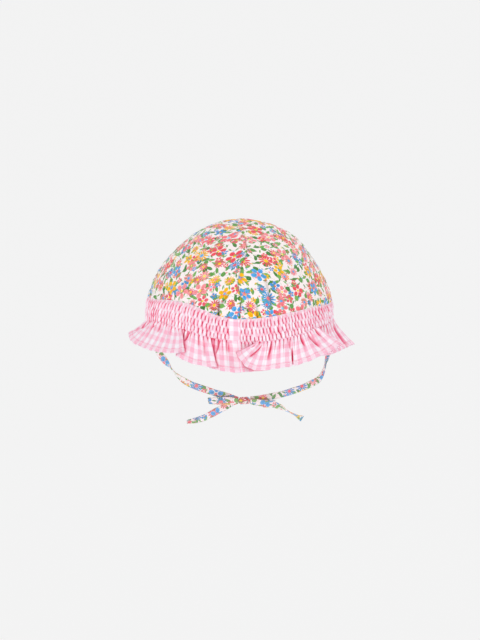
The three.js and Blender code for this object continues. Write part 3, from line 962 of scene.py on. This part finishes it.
# %% Hem table
HEM_ROWS = [
    (-112, -77, 32, -21), (-106, -81.5, 18, -17), (-100, -85, 4, -12),
    (-94, -85.4, -10, -7.5), (-88, -84.4, -23.8, -3.5), (-81, -83.9, -32.9, -4.4),
    (-75, -82.5, -40.4, -5.6), (-69, -79.5, -47, -6.9), (-62, -74.5, -54.8, -7.6),
    (-55.7, -69.5, -61.7, -8.2), (-47.4, -61.1, -71.9, -8.4), (-40.2, -49.3, -80.7, -7.8),
    (-35.8, -41.2, -85.8, -5.8), (-35.2, -42.5, -82.5, -7.3), (-34.6, -45.6, -79.1, -8.8),
    (-33.6, -47.2, -79.3, -10), (-31.5, -43.4, -85, -10.9), (-27.8, -36.8, -87.4, -13.9),
    (-21.5, -25.2, -90.7, -16), (-16.8, -16.8, -94, -15.7), (-16.2, -18.5, -90.4, -16.6),
    (-15.5, -22.5, -86.6, -17.2), (-14.4, -22, -87.4, -17.9), (-12.5, -15.1, -93, -18.6),
    (-6, -6.1, -92.6, -20.3), (0, 1.9, -90.9, -20.8), (4.5, 9, -86.9, -21.2),
    (8, 17, -83.7, -21.4), (9.2, 18, -85.4, -20.8), (9.9, 13.5, -87.2, -18.7),
    (10.5, 6, -89.8, -16), (10.9, -0.4, -93.8, -9.5), (11.2, -2.5, -97.4, -4.8),
    (11.8, 0, -97.2, -9.6), (12.4, 3.9, -95.2, -15.3), (13.2, 8.1, -92.6, -18.1),
    (14.5, 12.8, -90.8, -19.7), (16.5, 16.7, -89.8, -19.9), (19.2, 20.9, -89.1, -19.6),
    (24, 27.9, -87.9, -18.8), (29, 35.3, -86, -18.4), (31.1, 37.7, -85.1, -17.9),
    (31.9, 38.7, -82, -17.1), (32.7, 39.8, -84.6, -17.8), (35, 44.2, -82.7, -17.1),
    (38.5, 51.1, -80.9, -15.2), (43, 58.5, -77.9, -12.6), (48, 65.5, -72.5, -10.6),
    (51.5, 71.3, -68, -8.1), (54.5, 76.7, -62.9, -5.8), (55.2, 74.5, -61.2, -8.4),
    (56, 69.5, -57.8, -12.9), (57, 64, -55.4, -15.7), (58.4, 62, -57, -16.6),
    (60.5, 66.5, -55, -16.6), (63.5, 71, -50.3, -16.1), (68, 76, -42.4, -15.7),
    (76, 81.8, -30.7, -15.4), (84, 85.6, -18.3, -17), (90, 88.2, -9.5, -18),
    (97, 86, 3.5, -19.6), (104, 80.5, 20, -21.5),
]
BACK_START = 108.0
BACK_END = 246.0
BACK_LOBES = 5
# Along one lobe: the share of it at the band, the share at the hem, and how far out the hem is.
LOBE_SHAPE = [
    (0, 0, 9), (0.28, 0.28, 14.5), (0.58, 0.66, 17), (0.74, 0.94, 17.5), (0.78, 0.93, 14.5),
    (0.84, 0.82, 11), (0.90, 0.83, 8.5),
]
COLUMN_REACH_MM = 25.0
LEAST_DROP_MM = 3.0


def back_hem():
    rows = []
    bends = [0.12 * math.sin(2.4 * lobe) for lobe in range(BACK_LOBES)] + [0.0]
    span = BACK_END - BACK_START
    ends = [BACK_START + span * (lobe + bend) / BACK_LOBES for lobe, bend in enumerate(bends)]
    for lobe in range(BACK_LOBES):
        wide = ends[lobe + 1] - ends[lobe]
        for seat_share, hem_share, out in LOBE_SHAPE:
            seat = ends[lobe] + wide * seat_share
            hem = math.radians(ends[lobe] + wide * hem_share)
            out = out + 1.2 * math.sin(1.7 * lobe)
            x = (HALF_WIDTH_MM + out) * math.sin(hem)
            y = -(HALF_DEPTH_MM + out) * math.cos(hem)
            top_x = HALF_WIDTH_MM * math.sin(math.radians(seat))
            top_y = -HALF_DEPTH_MM * math.cos(math.radians(seat))
            lean = math.hypot(x - top_x, y - top_y)
            z = -math.sqrt(max(COLUMN_REACH_MM**2 - lean**2, LEAST_DROP_MM**2))
            rows.append((seat, x, y, z))
    return rows


hem_rows = np.array(HEM_ROWS + back_hem())
print("rows along the hem:", len(hem_rows))

# %% [markdown]
# From the table to the cloth.
# A smooth closed line goes through the rows. Its real length is the length of the gingham strip,
# because gathering doesn't stretch cloth. The columns of the mesh stand closer where the band or
# the hem needs them, and every column knows its seat at the band.

# %% Strip length
HEM_SAMPLES = 6000
STRIP_COLUMNS = 1440


def cubic_between(start, finish, rise, run, t):
    """From start to finish on a curve that leaves with the slope rise and comes in with run."""
    cubic = 2 * start - 2 * finish + rise + run
    square = -3 * start + 3 * finish - 2 * rise - run
    return start + t * (rise + t * (square + t * cubic))


def smooth_closed(values, samples):
    """A closed smooth line through the values, at evenly spread steps of the table."""
    place = np.linspace(0, len(values), samples, endpoint=False)
    i = np.floor(place).astype(int)
    before, here, after, beyond = (values[(i + k) % len(values)] for k in (-1, 0, 1, 2))
    t = (place - i)[:, None]
    return cubic_between(here, after, (after - before) / 2, (beyond - here) / 2, t)


hem_line = smooth_closed(hem_rows[:, 1:], HEM_SAMPLES)
hem_line = np.concatenate([hem_line, hem_line[:1]])
hem_travelled = travelled(hem_line)
seat_rows = np.append(hem_rows[:, 0], hem_rows[0, 0] + 360)
row_place = np.linspace(0, len(hem_rows), HEM_SAMPLES + 1)
hem_seat = np.interp(row_place, np.arange(len(hem_rows) + 1), seat_rows)
STRIP_LENGTH_MM = float(hem_travelled[-1])

column_need = 0.5 * hem_travelled / STRIP_LENGTH_MM + 0.5 * (hem_seat - hem_seat[0]) / 360
column_place = np.linspace(0, 1, STRIP_COLUMNS, endpoint=False)
strip_u = np.interp(column_place, column_need, hem_travelled)
strip_seat = np.radians(np.interp(strip_u, hem_travelled, hem_seat))
strip_hem = np.stack([np.interp(strip_u, hem_travelled, hem_line[:, a]) for a in range(3)], axis=1)
print("gingham strip:", round(STRIP_LENGTH_MM), "mm long")

# %% [markdown]
# Puffs.
# Elastic thread draws the strip together in rows. Between two rows the spare cloth stands out
# in small tall puffs with a narrow slit between each pair. The puffs of one row sit over the
# slits of the next and reach into them, like roof tiles. A chance value for each puff keeps the
# rows from looking machined. Towards the sides the puffs are wider, and lean outwards going down.
# The strip of cloth over the top elastic row lies nearly flat.

# %% Puff places
PUFFS = 134
WIDER_AT_SIDES = 0.29
PUFF_ROWS = 3
BAND_LEVELS = 3.4
ROW_MM = BAND_MM / BAND_LEVELS
PUFF_LEAN = 0.34
PLAIN_STRIP_X_MM = -3.9
PLAIN_STRIP_HALF_MM = 3.2
PLAIN_STRIP_OUT_MM = 1.5
CHANCES = 4096
chance_table = np.random.default_rng(3).uniform(size=CHANCES)


def puff_chance(index, salt):
    """A fixed chance value from 0 to 1 for each puff."""
    return chance_table[np.mod(np.mod(index, PUFFS) * 7 + salt * 311, CHANCES).astype(int)]


def plain_share(angle):
    """0 on the narrow strip at the front that isn't gathered, 1 elsewhere."""
    x = HALF_WIDTH_MM * np.sin(angle)
    away = (np.abs(x - PLAIN_STRIP_X_MM) - PLAIN_STRIP_HALF_MM) / 1.2
    return np.where(np.cos(angle) > 0, unit(away), 1.0)


def puff_count(angle, level):
    """The place along the band counted in puffs, with uneven widths and the lean at the sides."""
    turned = angle + WIDER_AT_SIDES * np.sin(2 * angle) / 2
    across = PUFFS * turned / TURN + 0.18 * np.sin(9 * angle) + 0.13 * np.sin(23 * angle)
    lean = PUFF_LEAN * np.tanh(2.4 * np.sin(angle)) * unit(1.2 + np.cos(angle))
    return across + lean * (np.maximum(level, -1.0) - PUFF_ROWS / 2)


def row_shift(row):
    return 0.5 * np.mod(row, 2) + 0.1 * np.sin(5.1 * row)


front_puff = TURN * HALF_WIDTH_MM / PUFFS / (1 + WIDER_AT_SIDES)
print("puffs in a row:", PUFFS, "at the front one every", round(front_puff, 2), "mm")

# %% [markdown]
# The puffs' relief.
# Each puff is half an oval. Its height is lower on the elastic lines, and the elastic draws the
# whole band in a little at the sides. The slits between the puffs are kept as the fold value,
# which paints shade into the slits and a painted highlight on the crest of each puff.

# %% Puff relief
PUFF_SWELL_MM = 2.2
PUFF_HALF_WIDE = 0.44
PUFF_HALF_TALL = 0.78
BAND_INSET_MM = 0.8
SIDE_DRAW_MM = 1.6


def puff_relief(angle, level):
    """The height of the puffs, 0 to about 1, at a level counted in rows from the bottom."""
    across = puff_count(angle, level)
    height = np.zeros(across.shape)
    for row in range(-1, PUFF_ROWS + 1):
        place = across + row_shift(row)
        index = np.floor(place)
        sideways = place - index - 0.5 + 0.14 * (puff_chance(index, row + 2) - 0.5)
        tall = PUFF_HALF_TALL * (0.85 + 0.35 * puff_chance(index, row + 9))
        upright = level - (row + 0.5)
        if row == -1:
            upright = np.maximum(upright, 0)
        oval = 1 - (sideways / PUFF_HALF_WIDE) ** 2 - (upright / tall) ** 2
        strength = 0.8 + 0.35 * puff_chance(index, row + 17)
        height = np.maximum(height, strength * np.sqrt(np.maximum(oval, 0)))
    return height


def standing_out(angle, level, height, gathered):
    """How far the puffs stand out, in mm: less on the elastic, and at the sides."""
    from_line = np.abs(level - np.round(level)) if np.max(level) > 0 else -level
    held = 0.82 + 0.18 * unit(from_line / 0.15)
    return PUFF_SWELL_MM * (1 - 0.35 * np.sin(angle) ** 2) * height * held * gathered


def drawn_in(angle, level):
    """How far the elastic draws the band inside the egg, in mm: most at the sides, low down."""
    return BAND_INSET_MM + SIDE_DRAW_MM * np.sin(angle) ** 2 * unit(1 - level / BAND_LEVELS)


def slit_shade_and_highlight(height, angle):
    """Painted shade: 1 in a slit, 0 on a puff's sides, under 0 on its crest as a painted highlight."""
    edge = 0.63 + 0.12 * np.sin(angle) ** 2
    return unit((edge - height) / 0.34) - 0.55 * unit((height - 0.7) / 0.3)


print("puffs stand out by", PUFF_SWELL_MM, "mm")

# %% [markdown]
# The strip on the egg.
# Gathering hides cloth in the slits, so the checks crowd together there. The strip's two ends
# are joined by a fine seam just left of the centre front.

# %% Strip on the egg
CLOTH_IN_SLITS = 0.62
JOIN_X_MM = -0.9
JOIN_HALF_MM = 0.55
JOIN_LIFT_MM = 0.25
join_angle = math.degrees(math.asin(JOIN_X_MM / HALF_WIDTH_MM))
JOIN_U_MM = float(np.interp(join_angle, hem_seat, hem_travelled))


def drawn_into_slits(angle, level, u):
    """The cloth measure u, with more of the cloth hidden in the slits than on the puffs."""
    across = puff_count(angle, level)
    row = np.clip(np.floor(level), -1, PUFF_ROWS - 1)
    place = across + row_shift(row)
    sideways = place - np.floor(place) - 0.5
    per_puff = np.gradient(u, axis=0) / np.maximum(np.gradient(across, axis=0), 1e-4)
    at_row = np.sin(np.pi * unit(level - row)) ** 0.5
    return u - CLOTH_IN_SLITS * at_row * np.sin(TURN * sideways) / TURN * per_puff


def egg_at(angle, z, out):
    share = share_at(np.maximum(z, 0))
    x = (HALF_WIDTH_MM * share + out) * np.sin(angle)
    y = -(HALF_DEPTH_MM * share + out) * np.cos(angle)
    return np.stack(np.broadcast_arrays(x, y, z), axis=-1)


def strip_join(u):
    """1 on the fine seam that joins the two ends of the gingham strip, 0 elsewhere."""
    return bell((u - JOIN_U_MM) / JOIN_HALF_MM)


print("the strip is joined", round(JOIN_U_MM), "mm along")

# %% [markdown]
# The shirred band.
# The band is the strip's upper part, from the seam under the crown down to the last elastic row.
# A bump map could draw the puffs, but they show at the outline and shade each other, so they
# are real relief in a fine mesh.

# %% Shirred band
BAND_ROWS_UP = 30
BAND_COLUMNS = 1376
GINGHAM_THICKNESS_MM = 0.45
UNEVEN_DRAW_MM = 1.6
TOP_STRIP_HEIGHT = 0.35


def shirred_band():
    turns = np.linspace(0, TURN, BAND_COLUMNS + 1)[:, None]
    angle = turns[:-1]
    level = np.linspace(0, BAND_LEVELS, BAND_ROWS_UP + 1)[None, :]
    below_top = unit((BAND_LEVELS - level) / 0.5)
    height = puff_relief(angle, level) * below_top + TOP_STRIP_HEIGHT * (1 - below_top)
    gathered = plain_share(angle)
    out = standing_out(angle, level, height, gathered) + (1 - gathered) * PLAIN_STRIP_OUT_MM
    out = out - drawn_in(angle, level)
    z = band_low(angle) + (band_high(angle) - band_low(angle)) * level / BAND_LEVELS
    seats = np.concatenate([hem_seat, hem_seat[1:] + 360])
    lengths = np.concatenate([hem_travelled, hem_travelled[1:] + STRIP_LENGTH_MM])
    u = np.interp(np.degrees(turns), seats, lengths)
    u = np.broadcast_to(u, (BAND_COLUMNS + 1, BAND_ROWS_UP + 1))
    join = strip_join(u[:-1])
    # Painted shade in the slits, a painted highlight on the puffs' crests, and paler on the join seam.
    fold = slit_shade_and_highlight(height, angle) * gathered * below_top - join
    points = egg_at(angle, z, out + JOIN_LIFT_MM * join)
    across = puff_count(turns, level)
    uneven = UNEVEN_DRAW_MM * uneven_wave(across, 3.3, 1.3, 2.1)
    calm = np.sin(np.pi * level / BAND_LEVELS) * plain_share(turns)
    v = BAND_MM - ROW_MM * level + uneven * calm
    cloth_mm = np.stack([drawn_into_slits(turns, level, u), v], axis=-1)
    mesh = grid_mesh("shirred_band", points, cloth_mm, fold)
    print("band columns:", BAND_COLUMNS, "faces:", len(mesh.polygons))
    return mesh


band = dress(
    "shirred_band", shirred_band(), [gingham_cotton], GINGHAM_THICKNESS_MM
)

# %% [markdown]
# The ruffle.
# Below the last elastic row nothing holds the cloth in. Each column of cloth keeps its length: a
# column that leans far out or sideways can't reach as far down, so the hem rises where the lobes
# flare, as it does on the real ruffle. The small puffs run out into creases of uneven length,
# and a few long creases run on to the hem.

# %% Ruffle creases
# Each crease: its seat, where it starts and ends down the cloth, depth, half width, lean.
CREASES = [
    (-68.5, -2, 21, 1.9, 2.3, -1.2), (-56, 1, 9, 1.2, 1.3, -0.9), (-54.5, 1, 12, 1.1, 1.2, 0),
    (-46, 1, 17, 0.8, 1.3, 0.05), (-29.6, 0, 13, 2, 1.3, -0.45), (-24.5, 2, 12, 1.3, 1.1, 0),
    (-21.5, 2, 19, 1.2, 1.2, 0), (-10.5, 0, 15, 2, 1.3, -0.5), (-6.8, 1, 12, 1.3, 1.1, 0),
    (14.1, 3, 20, 2, 1.4, -0.6), (19, 2, 19, 1.5, 1.3, -0.1), (25.5, 2, 12, 0.9, 1.2, 0.1),
    (31.9, 12, 27, 1.8, 1.4, 0), (29.5, 0, 14, 1.3, 1.2, 0.15), (37.5, 0, 15, 1.9, 1.3, 0.25),
    (43, 0, 20, 2, 1.3, 0.3), (50, 1, 13, 1.1, 1.2, 0.2), (75.5, 1, 16, 1, 1.5, 0),
    (75.5, 5, 30, 1.1, 3.8, 0.05), (78.5, 1, 25, 1.8, 2.6, 0.02),
]


def crease_relief(fallen):
    """The long creases: how deep they are in mm at every point of the ruffle."""
    total = np.zeros((STRIP_COLUMNS, fallen.shape[1]))
    for seat, first, last, depth, half_width, lean in CREASES:
        middle = np.interp(math.radians(seat), strip_seat, strip_u)
        along = np.sin(np.pi * unit((fallen - first) / (last - first))) ** 0.6
        total += depth * along * bell((strip_u[:, None] - middle - lean * fallen) / half_width)
    return total


print("long creases:", len(CREASES))

# %% [markdown]
# Shade at the folded edges.
# Where a lobe lies over the next one, the cloth right behind the edge is in its shade, and the
# cloth inside a fold is dark. The light comes from the front and a little above, so the shade is
# measured as it is seen from there.

# %% Ruffle shades
LIGHT_SLOPE = 0.19
# Each edge: from and to what seat it runs, below what depth, the seats under it, its reach.
EDGE_SHADES = [
    (-36.2, -35.6, 9, -34, -29, 1.2), (-17.2, -16.6, 9, -15, -11, 1.2),
    (11.3, 17.5, 25, -4, 8.6, 1.1),
]
# Each hidden fold: from what seat, to what seat, and how far down.
HIDDEN_FOLDS = [
    (-35.9, -32.8, 22), (-16.9, -14, 24), (8.2, 11.2, 30), (54.6, 58, 24),
]


def edge_shade(points, seat, fallen, row):
    """1 on the cloth right behind a folded edge, fading out beside it."""
    first, last, below, under_first, under_last, reach = row
    is_edge = (seat > first) & (seat < last) & (fallen >= below)
    is_under = np.broadcast_to((seat > under_first) & (seat < under_last), points.shape[:2])
    seen = np.stack([points[..., 0], points[..., 2] + LIGHT_SLOPE * points[..., 1]], axis=-1)
    away = np.linalg.norm(seen[is_under][:, None] - seen[is_edge][None, :], axis=2).min(axis=1)
    shade = np.zeros(points.shape[:2])
    shade[is_under] = bell(away / reach)
    return shade


def fold_shade(points, seat, fallen):
    """The shade of all folded edges and of the cloth hidden in folds."""
    total = 0.8 * sum(edge_shade(points, seat, fallen, row) for row in EDGE_SHADES)
    for first, last, down_to in HIDDEN_FOLDS:
        inside = np.minimum(seat - first, last - seat) / 0.25
        total = total + 0.85 * unit(inside + 0.5) * unit((down_to - fallen) / 3)
    return total


print("shaded edges:", len(EDGE_SHADES), "hidden folds:", len(HIDDEN_FOLDS))

# %% [markdown]
# The ruffle's cloth.
# Each column bends over a knee from the band down to its place on the hem. The puffs, a soft
# ripple, the creases and the turned hem are then raised from that surface.

# %% Ruffle
RUFFLE_ROWS = 32
HEM_TURN_MM = 3.2
HEM_LIFT_MM = 0.3
RIPPLE_MM = 0.38
RIPPLE_SPACING_MM = 9.7
KNEE_SHARE = 0.25


def ruffle_surface(down):
    """Columns from the hem up to the band, before the small creases."""
    top = egg_at(strip_seat, band_low(strip_seat), -drawn_in(strip_seat, 0.0))
    drop = top[:, 2] - strip_hem[:, 2]
    knee = top + (strip_hem - top) * KNEE_SHARE
    knee[:, 2] = top[:, 2] - 0.4 * drop * (drop / COLUMN_REACH_MM) ** 0.3
    t = down[..., None]
    return (1 - t) ** 2 * top[:, None] + 2 * t * (1 - t) * knee[:, None] + t**2 * strip_hem[:, None]


def normals_of(points):
    """The outward normal at every point of a closed grid."""
    round_way = np.roll(points, -1, axis=0) - np.roll(points, 1, axis=0)
    normal = np.cross(round_way, np.gradient(points, axis=1))
    return normal / np.maximum(np.linalg.norm(normal, axis=2, keepdims=True), 1e-9)


def ruffle():
    down = np.linspace(1, 0, RUFFLE_ROWS + 1)[None, :]
    line = ruffle_surface(down)
    seat = strip_seat[:, None]
    fallen = down * RUFFLE_CLOTH_MM
    level = -fallen / ROW_MM
    height = puff_relief(seat, level)
    run_out = puff_chance(np.floor(puff_count(seat, level) + row_shift(-1)), 5)
    fading = bell(np.maximum(fallen - 1.0, 0) / (4.0 + 9.0 * run_out**2))
    gathered = plain_share(seat)
    ripple = uneven_wave(strip_u, RIPPLE_SPACING_MM, 1.8, 23)[:, None]
    creases = crease_relief(fallen)
    from_hem_line = fallen - RUFFLE_CLOTH_MM + HEM_TURN_MM
    in_hem = unit(from_hem_line / 0.5)
    join = strip_join(strip_u)[:, None]
    raised = standing_out(seat, level, height, gathered) * fading
    raised = raised + RIPPLE_MM * ripple * unit(fallen / 9) - creases
    raised = raised + (1 - gathered) * PLAIN_STRIP_OUT_MM * unit(1 - fallen / 12)
    raised = raised + HEM_LIFT_MM * in_hem + JOIN_LIFT_MM * join
    points = line + normals_of(line) * raised[..., None]
    # The fold value: painted shade in the slits, the long creases and behind folded edges, a painted
    # highlight on the puffs' crests, paler on the doubled hem and the join seam, and a thin painted
    # shade along the line where the hem is turned.
    in_crease = unit(creases / 1.5) ** 1.3
    fold = slit_shade_and_highlight(height, seat) * fading * gathered * (1 - in_crease) + 0.92 * in_crease
    fold = fold + fold_shade(points, np.degrees(seat), fallen)
    fold = fold - join - 0.08 * in_hem + 0.12 * bell(from_hem_line / 0.6)
    u = np.append(strip_u, STRIP_LENGTH_MM)[:, None]
    u = np.broadcast_to(u, (STRIP_COLUMNS + 1, RUFFLE_ROWS + 1))
    turns = np.append(strip_seat, strip_seat[0] + TURN)[:, None]
    u = u + (drawn_into_slits(turns, level, u) - u) * np.vstack([fading, fading[:1]])
    cloth_mm = np.stack([u, np.broadcast_to(BAND_MM + fallen, u.shape)], axis=-1)
    mesh = grid_mesh("ruffle", points, cloth_mm, np.clip(fold, -1, 1))
    print("ruffle columns:", STRIP_COLUMNS, "faces:", len(mesh.polygons))
    return mesh


brim = dress("ruffle", ruffle(), [gingham_cotton], GINGHAM_THICKNESS_MM)

# %% [markdown]
# The ties.
# Each tie is a strip of the print folded into a narrow tape and stitched along its open edge.
# Such a tape twists as it hangs, and shows its face in one place and its edge in the next. The
# tables follow the solids. Each place is x, the depth y, z, the width and the turn in degrees.

# %% Tie tables
TIE_LEFT = [
    (-70.2, 0, 6, 5.2, 90), (-70, 0, -4, 5.2, 90), (-67.2, 0, -16, 5.2, 60),
    (-61.2, 0.2, -26.7, 5.4, 8), (-57.6, 0.4, -31.8, 5, 20), (-53.6, 0.6, -37, 4.6, 78),
    (-48.4, 0.8, -43.2, 4.8, 45), (-41.8, 1, -48.2, 5.2, 5), (-26.2, 1.4, -54.9, 5.4, 0),
    (-12, 1.8, -59.6, 5.2, 0), (-2.1, 1.95, -62.3, 3.4, 0),
]
TIE_RIGHT = [
    (70.2, 0, 6, 5.2, 90), (70, 0, -4, 5.2, 90), (69.6, 0, -16, 5.2, 70), (68.2, 0.2, -28, 5, 52),
    (66.2, 0.4, -36.5, 4.6, 76), (64.2, 0.6, -42.4, 4.8, 60), (60.8, 0.8, -47.6, 5, 30),
    (54.4, 1, -51.3, 5.2, 10), (39.6, 1.4, -57, 5.2, 0), (23, 1.8, -61, 5.2, 0),
    (7.5, 1.95, -62.3, 3.4, 0),
]
LOOP_LEFT = [
    (-2.1, -1.95, -62.8, 3.4, 0), (-8, -2.3, -62.3, 4.8, 0), (-17, -2.7, -61.9, 5.2, 0),
    (-23.4, -2.5, -62.5, 5.2, 0), (-25, -1.5, -62.8, 5.2, 0), (-23.4, -0.6, -63.1, 5.2, 0),
    (-17, -0.5, -63.7, 5.2, 0), (-8, -0.65, -63.9, 4.6, 0), (-2.1, -0.65, -63.4, 3.4, 0),
]
LOOP_RIGHT = [
    (7.5, -1.95, -63.4, 3.4, 0), (12.5, -2.4, -64.2, 4.8, 0), (20, -2.7, -65.5, 5.2, 0),
    (25.6, -2.5, -66, 5.2, 0), (27.1, -1.5, -66, 5.2, 0), (25.6, -0.6, -66.1, 5.2, 0),
    (20, -0.6, -66.4, 5.2, 0), (12.5, -0.65, -65.4, 4.6, 0), (7.5, -0.65, -64, 3.4, 0),
]
TAIL_LEFT = [
    (-2.1, 0.65, -64.2, 3.4, 0), (-5, 0.65, -64.7, 4.2, 0), (-12, 0.7, -68.2, 5.2, 0),
    (-19, 0.5, -71.6, 5.6, 0), (-28, 0.2, -76.4, 5.2, 0), (-34.4, 0, -78.4, 5, 35),
    (-42.4, 0, -80, 4.8, 68),
]
TAIL_RIGHT = [
    (7.5, 0.65, -64, 3.4, 0), (14, 0.65, -65, 4.6, 0), (23, 0.65, -66, 5, 0),
    (30.5, 0.5, -69, 5, 20), (36, 0.2, -72.2, 4.8, 68), (43.5, 0, -76, 4.8, 58),
    (48, 0, -78.6, 5.4, 10),
]
TAPES = [
    ("tie_left", TIE_LEFT, (46, 57)),
    ("tie_right", TIE_RIGHT, (67, 255)),
    ("bow_loop_left", LOOP_LEFT, (4, 402)),
    ("bow_loop_right", LOOP_RIGHT, (91, 286)),
    ("bow_tail_left", TAIL_LEFT, (4, 418)),
    ("bow_tail_right", TAIL_RIGHT, (4, 267)),
]
print("tapes:", len(TAPES))

# %% [markdown]
# Sweeping a tape.
# The section is a flat lens, thin at both edges. It is carried along the line without spin and
# then turned by the table, and each corner keeps its place on the flat tape, so the print runs
# straight along it.

# %% Tape sweep
TAPE_STEPS_PER_MM = 1.1
TAPE_SECTION = 14
TAPE_THICKNESS_MM = 1.0
TAPE_BACK_MM = 9.0
# Painted light: the ties hang in the shade of the bonnet, and this lifts their colour towards pale
# over every tape and the knot.
TAPE_PAINTED_LIGHT = 0.12
around = np.linspace(0, TURN, TAPE_SECTION, endpoint=False)
wide = np.sign(np.cos(around)) * np.abs(np.cos(around)) ** 0.7
thick = np.sign(np.sin(around)) * np.abs(np.sin(around)) ** 0.8


def smooth_open(rows):
    """A smooth line through rows, evenly stepped by the distance between them."""
    rows = np.array(rows, dtype=float)
    knots = travelled(rows[:, :3])
    slopes = np.gradient(rows, knots, axis=0)
    place = np.linspace(0, knots[-1], int(knots[-1] * TAPE_STEPS_PER_MM) + 8)
    i = np.clip(np.searchsorted(knots, place, side="right") - 1, 0, len(knots) - 2)
    span = np.diff(knots)[i][:, None]
    t = (place - knots[i])[:, None] / span
    return cubic_between(rows[i], rows[i + 1], slopes[i] * span, slopes[i + 1] * span, t)


def tape(node, rows, cut_at):
    line = smooth_open(rows)
    centre = line[:, :3]
    along = np.gradient(centre, axis=0)
    along /= np.linalg.norm(along, axis=1, keepdims=True)
    side = np.cross((0.0, 1.0, 0.0), along[0])
    far = travelled(centre)
    points = np.zeros((TAPE_SECTION, len(line), 3))
    cloth_mm = np.zeros((TAPE_SECTION + 1, len(line), 2))
    for k in range(len(line)):
        side = side - along[k] * (side @ along[k])
        side /= np.linalg.norm(side)
        turn = math.radians(line[k, 4])
        across = side * math.cos(turn) + np.cross(along[k], side) * math.sin(turn)
        through = np.cross(along[k], across)
        half = line[k, 3] / 2 * (1 + 0.03 * math.sin(far[k] / 2.9))
        lift = thick * TAPE_THICKNESS_MM / 2 + 0.15 * math.sin(far[k] / 3.7) * wide**2
        points[:, k] = centre[k] + wide[:, None] * half * across + lift[:, None] * through
        cloth_mm[:-1, k, 0] = cut_at[0] + far[k]
        cloth_mm[:-1, k, 1] = cut_at[1] + wide * half + (thick < -0.01) * TAPE_BACK_MM
    cloth_mm[-1] = cloth_mm[0]
    mesh = grid_mesh(node, points, cloth_mm, np.full(points.shape[:2], -TAPE_PAINTED_LIGHT))
    rework(mesh, close_ends, face_outwards)
    dress(node, mesh, [print_cotton])
    print(node, round(float(far[-1]), 1), "mm")


for row in TAPES:
    tape(*row)

# %% [markdown]
# The knot.
# The knot is the tape wrapped once round the crossing. Its barrel is pinched in the middle and
# crossed by a slanting crease where one edge of the wrap lies over the other.

# %% Knot
KNOT_COLUMNS = 56
KNOT_ROWS = 28
KNOT_X_MM = 2.7
KNOT_Z_MM = -63.3
KNOT_HALF_LENGTH_MM = 4.6
KNOT_HALF_HEIGHT_MM = 2.9
KNOT_HALF_DEPTH_MM = 3.3
KNOT_ROUND_MM = 3.1
KNOT_CUT_AT = (700, 30)


def knot_mesh():
    turns = np.linspace(0, TURN, KNOT_COLUMNS + 1)[:, None]
    around = turns[:-1]
    along = np.linspace(-1, 1, KNOT_ROWS + 1)[None, :]
    closing = (1 - np.abs(along) ** 5) ** 0.5
    crease = bell((along - 0.55 * np.cos(around)) / 0.16)
    ribs = 0.05 * np.cos(9 * along + 2 * np.sin(around))
    size = closing * (1 - 0.2 * crease + ribs)
    x = KNOT_X_MM + KNOT_HALF_LENGTH_MM * along * (1 + 0.06 * np.cos(around))
    y = -KNOT_HALF_DEPTH_MM * size * np.cos(around)
    z = KNOT_Z_MM + KNOT_HALF_HEIGHT_MM * size * np.sin(around)
    u, v = np.broadcast_arrays(turns * KNOT_ROUND_MM, along * KNOT_HALF_LENGTH_MM)
    cloth_mm = np.stack([u, v], axis=-1) + KNOT_CUT_AT
    # Painted shade along the slanting crease, and the same painted light as on the ties.
    mesh = grid_mesh("bow_knot", np.stack([x, y, z], axis=-1), cloth_mm, 0.75 * crease - TAPE_PAINTED_LIGHT)
    rework(mesh, weld, face_outwards)
    return mesh


knot = dress("bow_knot", knot_mesh(), [print_cotton])
print("knot faces:", len(knot.data.polygons))
